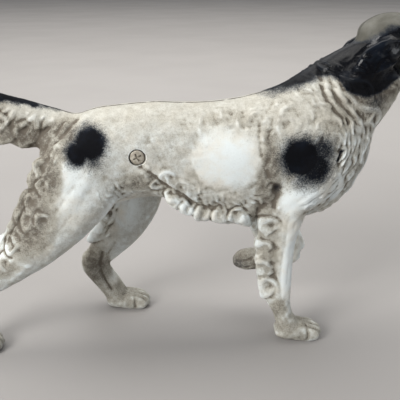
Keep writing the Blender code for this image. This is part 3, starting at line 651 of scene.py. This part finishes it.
def combed_fur(points, flows):
    """Height of the combed fur and the across coordinate of its strands, in millimetres.

    With s along a guide line and d to its side, both unevenly shifted, turned by the flow's angle, the
    plane is tiled by staggered locks, width by length. A lock is round across, sqrt(1 - a^2), narrows
    to its tip and rises towards it.
    """
    x, z = points[:, 0], points[:, 2]
    height, strands = np.zeros(len(x)), np.zeros(len(x))
    shift_along, shift_aside = 2.6 * ripple(points, 13.0, 31), 1.5 * ripple(points, 10.0, 32)
    chance = np.random.default_rng(7).uniform(0.0, 1.0, 997)
    for guide, right, left, turn, length, width, tall in flows:
        line = smooth_path(guide, 5)
        reach = max(right, left)
        low, high = line.min(axis=0) - reach, line.max(axis=0) + reach
        near = np.flatnonzero((x > low[0]) & (x < high[0]) & (z > low[1]) & (z < high[1]))
        start, run = line[:-1], np.diff(line, axis=0)
        steps = np.linalg.norm(run, axis=1)
        offset = np.stack([x[near], z[near]], axis=1)[:, None, :] - start[None]
        t = (offset * run).sum(axis=2) / steps ** 2
        inside = np.clip(t, 0.0, 1.0)
        gap = offset - inside[:, :, None] * run
        best = np.argmin((gap ** 2).sum(axis=2), axis=1)
        pick = np.arange(len(near))
        side = run[best, 0] * gap[pick, best, 1] - run[best, 1] * gap[pick, best, 0]
        aside = np.sign(side) * np.linalg.norm(gap[pick, best], axis=1)
        along = np.concatenate([[0.0], np.cumsum(steps)[:-1]])[best] + t[pick, best] * steps[best]
        total = steps.sum()
        edge = np.where(aside > 0, left, right)
        share = np.clip(2.2 - 2.2 * np.abs(aside) / edge, 0.0, 1.0)
        share *= np.clip(np.minimum(along, total - along) / 6.0 + 1.0, 0.0, 1.0)
        c, d = math.cos(math.radians(turn)), math.sin(math.radians(turn))
        v = (along * c + aside * d + shift_along[near]) / length
        u = (aside * c - along * d + shift_aside[near]) / width
        column = np.floor(u).astype(int)
        v = v + chance[(column * 131) % 997]
        lock = np.floor(v).astype(int)
        luck = chance[(column * 131 + lock * 57) % 997]
        place = v - lock
        slim = np.sqrt(np.clip(1.0 - (np.clip(place - 0.5, 0.0, None) / 0.52) ** 2, 0.0, 1.0)) + 1e-6
        across = (2.0 * (u - column) - 1.0) / slim
        body = np.sqrt(np.clip(1.0 - across ** 2, 0.0, 1.0)) * (0.25 + 0.75 * place) * (0.8 + 0.25 * across)
        rise = tall * share * (0.55 + 0.45 * luck) * body
        higher = rise > height[near]
        height[near[higher]] = rise[higher]
        strands[near[higher]] = np.where(rise > 0.3, width * (u - column) + luck, 0.0)[higher]
    return height, strands


def crease_depth(x, z, creases):
    """Depth of the creases: depth * exp(-(distance to the line / half width) squared), the deepest wins."""
    depth = np.zeros(len(x))
    for points, half_width, deep in creases:
        curve = smooth_path(points, 8)
        low, high = curve.min(axis=0) - 3 * half_width, curve.max(axis=0) + 3 * half_width
        near = np.flatnonzero((x > low[0]) & (x < high[0]) & (z > low[1]) & (z < high[1]))
        start, run = curve[:-1], np.diff(curve, axis=0)
        offset = np.stack([x[near], z[near]], axis=1)[:, None, :] - start[None]
        t = np.clip((offset * run).sum(axis=2) / (run ** 2).sum(axis=1), 0.0, 1.0)
        gap = np.linalg.norm(offset - t[:, :, None] * run, axis=2).min(axis=1)
        depth[near] = np.maximum(depth[near], deep * np.exp(-(gap / half_width) ** 2))
    return depth


def ripple(points, size, seed):
    """Smooth unevenness between -1 and 1: sines in crossed directions, each about size across."""
    turns = np.random.default_rng(seed)
    waves = turns.normal(size=(7, 3))
    waves *= (2 * math.pi / size) / np.linalg.norm(waves, axis=1)[:, None]
    phase = turns.uniform(0.0, 2 * math.pi, 7)
    return np.sin(points @ waves.T + phase).sum(axis=1) / 4.0


def within(x, z, places):
    """How much each place holds a point: 1 at its middle, 0 outside its radii, the strongest wins."""
    share = np.zeros(len(x))
    for place in places:
        a, b, wide, high = place[:4]
        away = np.sqrt(((x - a) / wide) ** 2 + ((z - b) / high) ** 2)
        strength = place[4] if len(place) > 4 else 1.0
        share = np.maximum(share, strength * np.clip(1.6 - 1.6 * away, 0.0, 1.0))
    return share


def lobe_height(points, lobes):
    """Height of the curled lobes in millimetres.

    With r the distance from the middle over the lobe's radius, wound in by 0.2 sin a, and a the angle
    from its open side: exp(-((r - 0.85) / 0.24)^2) (0.5 - 0.5 cos a) for the rim, less
    0.4 exp(-(r / 0.5)^2) for the middle and 0.5 exp(-((r - 1.3) / 0.2)^2) (0.5 - 0.5 cos a) round it.
    """
    x = points[:, 0] + 0.9 * ripple(points, 9.0, 41)
    z = points[:, 2] + 0.9 * ripple(points, 9.0, 42)
    height = np.zeros(len(x))
    for a, b, radius, open_side in lobes:
        away = np.hypot(x - a, (z - b) * 0.9) / radius
        angle = np.arctan2(z - b, x - a) - math.radians(open_side)
        closed = 0.5 - 0.5 * np.cos(angle)
        away = away * (1.0 + 0.2 * np.sin(angle))
        lobe = np.exp(-((away - 0.85) / 0.24) ** 2) * closed - 0.4 * np.exp(-(away / 0.5) ** 2)
        height += lobe - 0.5 * np.exp(-((away - 1.3) / 0.2) ** 2) * closed
    return height


def barrel_share(x, z, wander=0.0):
    """1 on the smooth oval of the barrel and 0 off it."""
    a, b, wide, high = BARREL
    away = np.sqrt(((x - a) / wide) ** 2 + ((z - b) / high) ** 2)
    return np.clip(2.3 - 2.0 * away + 0.14 * wander - 0.25 * np.clip((a - x) / wide, 0.0, 1.0), 0.0, 1.0)


def relief(points, depth_share):
    """Height of fur, creases, swellings and unevenness over the body's forms, and the fur's strand lines.

    Both are in millimetres.
    """
    x, z = points[:, 0], points[:, 2]
    height, across = np.zeros(len(points)), np.zeros(len(points))
    body = [lock for row in BODY_FUR.values() for lock in row_locks(row, 1.0)]
    body += [(*curl, 0.0, 0.0) for curl in CURLS]
    for side, rows, flows, lobes, creases in (
            (RIGHT, RIGHT_FUR, RIGHT_COMBED, RIGHT_LOBES, RIGHT_CREASES),
            (LEFT, LEFT_FUR, LEFT_COMBED, LEFT_LOBES, LEFT_CREASES)):
        here = np.flatnonzero(points[:, 1] * side > 0)
        own = [lock for row in rows.values() for lock in row_locks(row, 1.0)]
        for (root, _), *row in PROUD_ROWS.values():
            if root * side >= 0:
                own += [(*lock[:6], 1.4, *lock[7:]) for lock in row_locks(row, 0.5)]
        fur, strands = fur_height(x[here], z[here], body + own)
        combed, combed_strands = combed_fur(points[here], BODY_COMBED + flows)
        across[here] = np.where(fur > combed, strands, combed_strands)
        fur = np.maximum(fur, combed) + 0.35 * np.minimum(fur, combed)
        calm = 1.0 - 0.9 * np.clip(within(x[here], z[here], SMOOTH_PLACES) * 1.6, 0.0, 1.0)
        calm *= 1.0 - barrel_share(x[here], z[here])
        worn = 0.75 + 0.3 * ripple(points[here], 9.0, 3)
        lumps = 0.16 * ripple(points[here], 3.4, 12) * np.clip(2.2 * within(x[here], z[here], SOIL_AND_SHADE_PLACES), 0.0, 1.0)
        creases = crease_depth(x[here], z[here], BODY_CREASES + creases) * worn
        curled = lobe_height(points[here], BODY_LOBES + lobes)
        fur *= 1.0 - 0.6 * np.clip(np.abs(curled), 0.0, 1.0)
        height[here] = depth_share * (fur * calm + 0.75 * curled - 0.7 * creases) + lumps
    for a, b, wide, high, tall in SWELLINGS:
        height += tall * np.exp(-((x - a) / wide) ** 2 - ((z - b) / high) ** 2)
    uneven = 0.34 * ripple(points, 12.0, 5) + 0.14 * ripple(points, 6.0, 9) + 0.07 * ripple(points, 4.2, 8)
    return height + uneven * (1.0 - 0.8 * barrel_share(x, z)), across


def paint_masks(points):
    """Black enamel, soiling and the pale blaze at each point, from 0 to 1; the black also holds painted shade at the
    throat and on the far fore paw, and the soiling holds painted shade at the throat and on the far legs.
    """
    x, y, z = points.T
    wander = 1.3 * ripple(points, 7.0, 21) + 0.7 * ripple(points, 3.0, 22)

    def soft(inside, edge):
        return np.clip(0.5 + (inside + 0.5 * wander) / (2 * edge), 0.0, 1.0)

    black = np.zeros(len(points))
    for a, b, radius, edge, dense in BLACK_PATCHES_AND_THROAT_SHADE:
        black = np.maximum(black, dense * soft(radius - np.hypot(x - a, z - b), edge))
    dash = np.hypot(x - 99.6 - 0.3 * (z - 138), np.clip(np.abs(z - 138) - 3.0, 0.0, None))
    black = np.maximum(black, soft(1.2 - dash, 1.2) * (y < 0))
    # Painted shade: the far fore paw, in the shadow of the body, is half covered in black
    far_paw_shade = soft(7.5 - np.hypot((x - 41) / 1.2, z - 41), 5.0)
    black = np.maximum(black, 0.5 * far_paw_shade * (y > 0))
    line_x, line_z = np.array(HEAD_BORDER).T
    border = np.interp(x, line_x, line_z)
    black = np.maximum(black, soft(z - border, np.interp(x, [60, 96], [4.5, 2.6])) * (x > 44))
    line_x, line_z = np.array(TAIL_STRIP).T
    black = np.maximum(black, soft(z - np.interp(x, line_x, line_z), 2.2) * (x < -64))
    line_x, half = np.array(BLAZE).T
    blaze = soft(np.interp(x, line_x, half) - np.abs(y), 2.2) * np.clip((z - 203) / 4, 0.0, 1.0)
    blaze *= np.clip((x - 103) / 3, 0.0, 1.0)
    # Soiling, partly painted shade: the throat place and the far side's places darken where shade falls
    soil_and_shade = np.maximum(within(x, z, SOIL_AND_SHADE_PLACES), 1.25 * np.clip((46 - z) / 34, 0.0, 1.0))
    soil_and_shade = np.maximum(soil_and_shade, 0.66 * (1.0 - np.clip(1.5 * within(x, z, CLEAN_PLACES), 0.0, 1.0)))
    soil_and_shade = np.maximum(soil_and_shade, within(x, z, LEFT_SOIL_AND_SHADE) * (y > 0))
    soil_and_shade = soil_and_shade * (1.0 - 0.9 * barrel_share(x, z, wander))
    return black * (1.0 - blaze), blaze, soil_and_shade


def keep_inside(points):
    """Points pulled onto the CAD part's box where they pass it, in millimetres."""
    low, high = (np.array(corner) / MM for corner in CAD_BOX)
    return np.clip(points, low + 0.02, high - 0.02)


def carved_body(sizes):
    """The whole dog as one closed mesh with paint attributes: forms fused, relaxed and carved."""
    forms = new_object("body_forms", tube_mesh("body_forms", body_forms()))
    fuse = forms.modifiers.new("fuse", "REMESH")
    fuse.mode = "VOXEL"
    fuse.voxel_size = sizes.grid
    body = worked_out(forms)
    bpy.data.objects.remove(forms)
    edges = read(body.edges, "vertices", 2, np.int64)
    points = relax(read(body.vertices, "co", 3) / MM, edges, sizes.crisp_rounds, 0.5)
    crisp = spread(crisp_share(points[:, 0], points[:, 2]), edges, 10)
    points = relax(points, edges, sizes.body_rounds, 0.5 * (1.0 - crisp)[:, None])
    body.vertices.foreach_set("co", (points * MM).ravel())
    body.update()
    normals = read(body.vertices, "normal", 3)
    facing = np.clip(np.abs(normals[:, 1]) / 0.6, 0.0, 1.0) ** 0.8
    height, across = relief(points, sizes.fur_depth)
    height *= np.maximum(facing, 0.12)
    points = relax(points + normals * height[:, None], edges, 1, 0.35)
    smooth = relax(points, edges, 10, 0.5)
    broad = relax(smooth, edges, 60, 0.5)
    apart = np.abs(across[edges[:, 0]] - across[edges[:, 1]]) > STRAND_STEP
    strands = np.where(across == 0.0, 0.0, 1.0)
    strands[edges[apart].ravel()] = 0.0
    close = ((smooth - points) * normals).sum(axis=1) / 0.2
    wide = ((broad - smooth) * normals).sum(axis=1) / 0.6 + 0.35
    hollow = close + np.clip(wide, -0.6, 1.2)
    hollow = spread(hollow, edges, 1)
    points = keep_inside(points)
    body.vertices.foreach_set("co", (points * MM).ravel())
    black, blaze, soil_and_shade = paint_masks(points)
    from_eye = np.hypot(points[:, 0] - EYEBALL[2][0], points[:, 2] - EYEBALL[2][2])
    eye = np.clip(3.6 - from_eye, 0.0, 1.0)
    # Painted shade: faces that point down, and low faces of the legs that turn to the mid-plane, are darkened like
    # soil through the soiling attribute
    under = np.clip(-normals[:, 2] - 0.2, 0.0, 1.0)
    inner = np.clip(-normals[:, 1] * np.sign(points[:, 1]), 0.0, 1.0) * np.clip((112 - points[:, 2]) / 30, 0.0, 1.0)
    under = np.maximum(0.45 * under, 0.2 * inner)
    for name, values in (("hollow", hollow), ("black", black), ("blaze", blaze), ("across", across),
                         ("soil_and_shade", np.maximum(soil_and_shade, under)), ("eye", eye), ("strands", strands)):
        body.attributes.new(name, "FLOAT", "POINT").data.foreach_set("value", values.astype(np.float32))
    return body


def cut_flat(mesh, point, normal):
    """Take away what lies on the normal's side of a plane, and close the cut with a flat face."""
    parts = list(mesh.verts) + list(mesh.edges) + list(mesh.faces)
    bmesh.ops.bisect_plane(mesh, geom=parts, plane_co=point, plane_no=normal, clear_outer=True)
    rim = [edge for edge in mesh.edges if edge.is_boundary]
    bmesh.ops.triangle_fill(mesh, use_beauty=True, edges=rim, normal=normal)


def half_casting(name, body, side, gap):
    """One half of the body: cut at the mid-plane, with flat soles on the floor."""
    mesh = bmesh.new()
    mesh.from_mesh(body)
    cut_flat(mesh, (0.0, side * gap / 2, 0.0), (0.0, -side, 0.0))
    cut_flat(mesh, (0.0, 0.0, 0.00002), (0.0, 0.0, -1.0))
    bmesh.ops.recalc_face_normals(mesh, faces=mesh.faces)
    data = bpy.data.meshes.new(name)
    mesh.to_mesh(data)
    mesh.free()
    data.shade_smooth()
    data.set_sharp_from_angle(angle=math.radians(60))
    return new_object(name, data)


def turned_surface(name, profile, sides=72, dent=None):
    """A surface turned about the screw's axis: x = r cos a, z = r sin a, y from the profile plus a dent."""
    radius, depth = np.array(profile, dtype=float).T
    angle = np.linspace(0.0, 2 * math.pi, sides, endpoint=False)
    across, up = radius[:, None] * np.cos(angle), radius[:, None] * np.sin(angle)
    y = np.repeat(depth[:, None], sides, axis=1)
    if dent is not None:
        y = y + dent(across, up)
    rings = np.stack([SCREW_X + across, y, SCREW_Z + up], axis=2)
    return outward(tube_mesh(name, [rings / MM]))


def bore(casting, name, profile):
    """Cut a turned hole through a casting and apply it."""
    cutter = new_object(name, turned_surface(name, profile))
    cut = casting.modifiers.new(name, "BOOLEAN")
    cut.operation = "DIFFERENCE"
    cut.solver = "EXACT"
    cut.object = cutter
    drilled = worked_out(casting)
    casting.modifiers.clear()
    casting.data = drilled
    bpy.data.objects.remove(cutter)


# The finishes


class Finish:
    """A material whose nodes are wired by short calls."""

    def __init__(self, name):
        self.material = bpy.data.materials.new(name)
        self.material.use_nodes = True
        self.nodes = self.material.node_tree.nodes
        self.links = self.material.node_tree.links
        self.shader = self.nodes["Principled BSDF"]

    def put(self, socket, value):
        """Link a socket, or set a constant."""
        if isinstance(value, bpy.types.NodeSocket):
            self.links.new(value, socket)
        elif isinstance(value, (tuple, list)) or hasattr(value, "__len__"):
            socket.default_value = (*value, 1.0) if len(value) == 3 and len(socket.default_value) == 4 else value
        else:
            socket.default_value = value

    def where(self):
        """Object coordinates."""
        return self.nodes.new("ShaderNodeTexCoord").outputs["Object"]

    def attribute(self, name):
        """A value kept on the mesh."""
        node = self.nodes.new("ShaderNodeAttribute")
        node.attribute_name = name
        return node.outputs["Fac"]

    def noise(self, scale, detail=3.0, roughness=0.55, place=None):
        """Fractal noise around 0.5; scale is in cells per metre."""
        node = self.nodes.new("ShaderNodeTexNoise")
        self.put(node.inputs["Vector"], place or self.where())
        self.put(node.inputs["Scale"], scale)
        self.put(node.inputs["Detail"], detail)
        self.put(node.inputs["Roughness"], roughness)
        return node.outputs["Fac"]

    def sums(self, kind, a, b=0.0, clamp=False):
        """A Math node."""
        node = self.nodes.new("ShaderNodeMath")
        node.operation = kind
        node.use_clamp = clamp
        self.put(node.inputs[0], a)
        self.put(node.inputs[1], b)
        return node.outputs[0]

    def band(self, value, low, high, bottom=0.0, top=1.0):
        """A smooth step from low to high, mapped to bottom and top."""
        node = self.nodes.new("ShaderNodeMapRange")
        node.interpolation_type = "SMOOTHSTEP"
        for socket, number in zip(node.inputs, (value, low, high, bottom, top)):
            self.put(socket, number)
        return node.outputs["Result"]

    def mix(self, share, first, second):
        """A blend of two colours."""
        node = self.nodes.new("ShaderNodeMix")
        node.data_type = "RGBA"
        self.put(node.inputs[0], share)
        self.put(node.inputs[6], first)
        self.put(node.inputs[7], second)
        return node.outputs[2]

    def bump(self, height, distance, strength=1.0, after=None):
        """A Bump node; distance is in metres."""
        node = self.nodes.new("ShaderNodeBump")
        self.put(node.inputs["Height"], height)
        self.put(node.inputs["Distance"], distance)
        self.put(node.inputs["Strength"], strength)
        if after is not None:
            self.put(node.inputs["Normal"], after)
        return node.outputs["Normal"]


def enamel_finish(sizes):
    """Aged semi-gloss enamel on iron: white with grime in the hollows and painted shade on its undersides, its top
    and its far side, and black patches with speckled edges and a painted bluish sheen.
    """
    f = Finish("aged_enamel_with_painted_shade_and_sheen")
    hollow, soil_and_shade = f.attribute("hollow"), f.attribute("soil_and_shade")
    black, blaze, across = f.attribute("black"), f.attribute("blaze"), f.attribute("across")
    broad, middling = f.noise(55.0, 4.0), f.noise(210.0, 5.0, 0.6)
    fine, dust = f.noise(1150.0, 4.0, 0.65), f.noise(2000.0, 3.0, 0.65)
    split = f.nodes.new("ShaderNodeSeparateXYZ")
    f.put(split.inputs[0], f.where())
    # White enamel, cool where clean and warm where it has yellowed
    white = f.mix(f.band(broad, 0.4, 0.68), sizes.white, (0.74, 0.73, 0.67))
    # Dust and painted shade on the top of the back and the neck: greyer above 143 mm
    dust_and_top_shade = f.band(split.outputs["Z"], 0.143, 0.164, 0.0, 0.7)
    white = f.mix(dust_and_top_shade, white, (0.61, 0.585, 0.515))
    # Dirt and painted shade: the soiling attribute, which holds both, broken up by noise, with more dirt in hollows
    # and less on the worn crests
    patchy = f.band(middling, 0.3, 0.64, 0.72, 1.05)
    darkening = f.sums("MULTIPLY", soil_and_shade, patchy)
    darkening = f.sums("ADD", darkening, f.band(hollow, 0.1, 2.2, 0.0, 0.75))
    darkening = f.sums("SUBTRACT", darkening, f.band(hollow, -0.35, -1.7, 0.0, 0.42))
    # A greige film, and on it greige specks, dark specks and caked grime, each where the dirt and painted shade are
    # thicker
    grain = f.sums("SUBTRACT", fine, 0.5)
    powder = f.sums("SUBTRACT", dust, 0.5)
    film = f.band(darkening, 0.06, 1.05, 0.0, 0.86)
    specks = f.band(f.sums("ADD", f.sums("MULTIPLY", darkening, 0.2), grain), 0.07, 0.3)
    dots = f.band(f.sums("ADD", f.sums("MULTIPLY", darkening, 0.2), powder), 0.2, 0.36)
    packed = f.sums("ADD", f.sums("MULTIPLY", darkening, 0.3), f.band(hollow, 0.7, 2.6, 0.0, 0.26))
    caked = f.band(f.sums("ADD", packed, grain), 0.34, 0.66)
    white = f.mix(film, white, (0.40, 0.378, 0.318))
    white = f.mix(f.sums("MULTIPLY", specks, 0.34), white, (0.25, 0.228, 0.185))
    white = f.mix(f.sums("MULTIPLY", caked, 0.75), white, sizes.grime)
    white = f.mix(f.sums("MULTIPLY", dots, 0.42), white, (0.06, 0.048, 0.038))
    # The seam between the halves shows dark
    near_seam = f.band(f.sums("ABSOLUTE", split.outputs["Y"]), 0.0004, 0.0016, 1.0, 0.0)
    seam = f.sums("MULTIPLY", near_seam, f.band(middling, 0.3, 0.5))
    white = f.mix(f.sums("MULTIPLY", seam, 0.9), white, (0.04, 0.032, 0.028))
    # Pale blaze, greyer than the body
    blazed = f.sums("MULTIPLY", f.band(blaze, 0.0, 0.3), f.band(broad, 0.35, 0.65, 0.84, 0.98))
    white = f.mix(blazed, white, (0.085, 0.083, 0.07))
    # Black enamel: blue-black, speckled along its edge, greyish blue where it was sprayed thin, which also stands as
    # a painted bluish sheen, and lighter blue-grey on its rounded crests as painted sheen
    spray = f.sums("ADD", f.sums("MULTIPLY", grain, 0.7), f.sums("MULTIPLY", powder, 0.4))
    cover = f.band(f.sums("ADD", black, spray), 0.16, 0.86)
    deep = f.mix(f.band(broad, 0.5, 0.66), sizes.black, (0.004, 0.006, 0.011))
    thin_black_and_sheen = f.mix(f.band(black, 0.55, 0.95), (0.012, 0.018, 0.03), deep)
    thin_black_and_sheen = f.mix(f.band(hollow, -0.5, -1.8, 0.0, 0.25), thin_black_and_sheen, (0.016, 0.022, 0.032))
    f.put(f.shader.inputs["Base Color"], f.mix(cover, white, thin_black_and_sheen))
    # The head is glossy, the sprayed patches are dull
    shine = f.band(darkening, 0.1, 1.2, 0.33, 0.7)
    gloss = f.band(split.outputs["Z"], 0.168, 0.196, 0.82, 0.16)
    f.put(f.shader.inputs["Roughness"], f.sums("ADD", f.sums("MULTIPLY", shine, f.sums("SUBTRACT", 1.0, cover)),
                                               f.sums("MULTIPLY", gloss, cover)))
    f.put(f.shader.inputs["Specular IOR Level"], 0.12)
    # Clear varnish, thick on the eyes and thin on the black of the head
    varnish = f.sums("MULTIPLY", f.band(split.outputs["Z"], 0.172, 0.192, 0.0, 0.045), cover)
    f.put(f.shader.inputs["Coat Weight"], f.sums("ADD", varnish, f.attribute("eye"), True))
    f.put(f.shader.inputs["Coat Roughness"], 0.07)
    # Strands of the fur, orange peel of the paint, and small pits at the dark dots
    wave = f.sums("SINE", f.sums("ADD", f.sums("MULTIPLY", across, 5.2), f.sums("MULTIPLY", middling, 3.0)))
    surface = f.bump(f.sums("MULTIPLY", wave, f.attribute("strands")), 0.0001, 0.8)
    rough = f.sums("MULTIPLY", fine, f.band(f.sums("SUBTRACT", darkening, cover), -1.0, 1.0, 0.0, 1.0))
    surface = f.bump(rough, 0.00045, 1.0, surface)
    surface = f.bump(f.sums("SUBTRACT", 1.0, dots), 0.00015, 0.7, surface)
    f.put(f.shader.inputs["Normal"], surface)
    return f.material


def screw_finish():
    """Worn screw metal under old paint and grime."""
    f = Finish("worn_painted_screw")
    fine, middling = f.noise(1500.0, 4.0, 0.6), f.noise(420.0, 3.0)
    split = f.nodes.new("ShaderNodeSeparateXYZ")
    f.put(split.inputs[0], f.where())
    low = f.band(split.outputs["Y"], SCREW_LOW[1] + 0.0004, SCREW_LOW[1] + 0.0016)
    darkening = f.band(f.sums("ADD", low, f.sums("MULTIPLY", f.sums("SUBTRACT", fine, 0.5), 1.4)), 0.25, 0.8)
    paint = f.mix(f.band(middling, 0.35, 0.6), (0.5, 0.47, 0.4), (0.33, 0.295, 0.24))
    f.put(f.shader.inputs["Base Color"], f.mix(darkening, paint, (0.06, 0.046, 0.034)))
    f.put(f.shader.inputs["Metallic"], 0.15)
    f.put(f.shader.inputs["Roughness"], f.band(fine, 0.3, 0.7, 0.38, 0.62))
    f.put(f.shader.inputs["Normal"], f.bump(fine, 0.0002))
    return f.material


def floor_finish(colour):
    """Plain pale floor, faintly uneven."""
    f = Finish("pale_floor")
    tone = f.noise(3.0, 2.0)
    darker = tuple(0.94 * channel for channel in colour)
    f.put(f.shader.inputs["Base Color"], f.mix(f.band(tone, 0.35, 0.65), tuple(colour), darker))
    f.put(f.shader.inputs["Roughness"], f.band(tone, 0.3, 0.7, 0.55, 0.65))
    return f.material


# The operators


class CastHalves(bpy.types.Operator):
    """Carve and paint the right and left half castings"""

    bl_idname = "iron_dog.cast_halves"
    bl_label = "Cast Halves"

    def execute(self, context):
        sizes = context.scene.iron_dog_casting
        body = carved_body(sizes)
        paint = enamel_finish(sizes)
        seat = SCREW_LOW[1] + context.scene.iron_dog_screw.head_height + 0.0003
        hole = context.scene.iron_dog_screw.shank + 0.0003
        wide = sizes.bore_radius
        recess = [(wide * 1.12, SCREW_LOW[1] - 0.006), (wide * 1.1, SCREW_LOW[1] - 0.0004),
                  (wide, SCREW_LOW[1] + 0.0006), (wide * 0.97, seat), (hole, seat), (hole, 0.001)]
        socket = [(hole, -0.001), (hole, SCREW_HIGH[1] + 0.0003)]
        for name, side, node, profile in (("right_casting_painted", RIGHT, "right_casting", recess),
                                          ("left_casting_painted", LEFT, "left_casting", socket)):
            casting = half_casting(name, body, side, sizes.joint_gap)
            bore(casting, name + "_bore", profile)
            casting.data.name = name
            casting.data.materials.clear()
            casting.data.materials.append(paint)
            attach(casting, "root")
            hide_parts(node)
        bpy.data.meshes.remove(body)
        return {"FINISHED"}


class TurnScrew(bpy.types.Operator):
    """Turn the domed assembly screw with its cross recess"""

    bl_idname = "iron_dog.turn_screw"
    bl_label = "Turn Screw"

    def execute(self, context):
        sizes = context.scene.iron_dog_screw
        face, head = SCREW_LOW[1], SCREW_RADIUS - 0.00005
        arm, half, turn = sizes.slot_length / 2, sizes.slot_width / 2, math.radians(28)

        def cross(across, up):
            """Depth of the recess: full where either coordinate lies in an arm's width, soft at its walls."""
            a = np.abs(across * math.cos(turn) + up * math.sin(turn))
            b = np.abs(up * math.cos(turn) - across * math.sin(turn))
            wall = 0.00012
            one = np.clip((half - a) / wall, 0, 1) * np.clip((arm - b) / wall, 0, 1)
            two = np.clip((half - b) / wall, 0, 1) * np.clip((arm - a) / wall, 0, 1)
            return sizes.slot_depth * np.maximum(one, two)

        share = np.linspace(0.03, 1.0, 46)
        domed = [(head * s, face + 0.00004 + sizes.dome * (1 - math.sqrt(1 - 0.96 * s ** 2)) / 0.8) for s in share]
        side = [(head, face + sizes.head_height), (sizes.shank, face + sizes.head_height),
                (sizes.shank, SCREW_HIGH[1] - sizes.shank / 2), (sizes.shank / 2, SCREW_HIGH[1] - 0.00002)]
        mesh = turned_surface("flank_screw", domed + side, 96, cross)
        screw = new_object("flank_screw", mesh)
        mesh.shade_smooth()
        mesh.set_sharp_from_angle(angle=math.radians(50))
        mesh.materials.append(screw_finish())
        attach(screw, "root")
        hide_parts("assembly_screw")
        return {"FINISHED"}


class SetStage(bpy.types.Operator):
    """Lay the pale floor, hang the soft lamps and place the camera"""

    bl_idname = "iron_dog.set_stage"
    bl_label = "Set Stage"

    def execute(self, context):
        sizes = context.scene.iron_dog_stage
        half = sizes.floor_size / 2
        mesh = bpy.data.meshes.new("pale_floor")
        mesh.from_pydata([(-half, -half, 0), (half, -half, 0), (half, half, 0), (-half, half, 0)], [], [(0, 1, 2, 3)])
        mesh.materials.append(floor_finish(sizes.floor_colour))
        new_object("pale_floor", mesh)
        for name, place, aim, side, power, tint in (
                ("key_lamp", (-0.85, -0.72, 0.66), (0.0, 0.0, 0.12), 0.5, sizes.key_power, (1.0, 0.985, 0.96)),
                ("fill_lamp", (1.1, -0.5, 0.7), (0.05, 0.0, 0.12), 0.8, sizes.fill_power, (0.94, 0.97, 1.0)),
                ("back_lamp", (-0.2, 1.0, 1.1), (0.0, 0.0, 0.12), 0.9, sizes.fill_power, (1.0, 1.0, 1.0)),
                ("floor_lamp", (0.0, 1.2, 2.6), (0.0, 4.6, 0.0), 4.0, sizes.floor_power, (1.0, 0.98, 0.94))):
            lamp = bpy.data.lights.new(name, "AREA")
            lamp.shape = "SQUARE"
            lamp.size = side
            lamp.energy = power
            lamp.color = tint
            thing = bpy.data.objects.new(name, lamp)
            context.scene.collection.objects.link(thing)
            thing.location = place
            thing.rotation_euler = (Vector(aim) - Vector(place)).to_track_quat("-Z", "Y").to_euler()
        world = bpy.data.worlds.new("soft_room")
        world.use_nodes = True
        world.node_tree.nodes["Background"].inputs["Color"].default_value = (0.95, 0.97, 1.0, 1.0)
        world.node_tree.nodes["Background"].inputs["Strength"].default_value = sizes.room_light
        context.scene.world = world
        context.scene.view_settings.view_transform = "Standard"
        lens = bpy.data.cameras.new("camera")
        lens.lens = sizes.lens
        lens.sensor_width = 36.0
        lens.clip_start = 0.01
        camera = bpy.data.objects.new("camera", lens)
        context.scene.collection.objects.link(camera)
        camera.location = sizes.camera_place
        camera.rotation_euler = (math.pi / 2 - sizes.camera_down, 0.0, -sizes.camera_turn)
        context.scene.camera = camera
        return {"FINISHED"}


class IronDogPanel(bpy.types.Panel):
    """Lists the pieces of the dog and the stage"""

    bl_idname = "VIEW3D_PT_iron_dog"
    bl_label = "Iron Dog"
    bl_space_type = "VIEW_3D"
    bl_region_type = "UI"
    bl_category = "Iron Dog"

    def draw(self, context):
        scene = context.scene
        for operator, sizes in ((CastHalves, scene.iron_dog_casting), (TurnScrew, scene.iron_dog_screw),
                                (SetStage, scene.iron_dog_stage)):
            box = self.layout.box()
            box.operator(operator.bl_idname)
            for name in type(sizes).__annotations__:
                box.prop(sizes, name)


GROUPS = {"iron_dog_casting": CastingSizes, "iron_dog_screw": ScrewSizes, "iron_dog_stage": StageSizes}
CLASSES = (CastingSizes, ScrewSizes, StageSizes, CastHalves, TurnScrew, SetStage, IronDogPanel)


def register():
    for kind in CLASSES:
        bpy.utils.register_class(kind)
    for name, group in GROUPS.items():
        setattr(bpy.types.Scene, name, PointerProperty(type=group))


def unregister():
    for name in GROUPS:
        delattr(bpy.types.Scene, name)
    for kind in reversed(CLASSES):
        bpy.utils.unregister_class(kind)


def main():
    register()
    bpy.ops.iron_dog.cast_halves()
    bpy.ops.iron_dog.turn_screw()
    bpy.ops.iron_dog.set_stage()


if __name__ == "__main__":
    main()
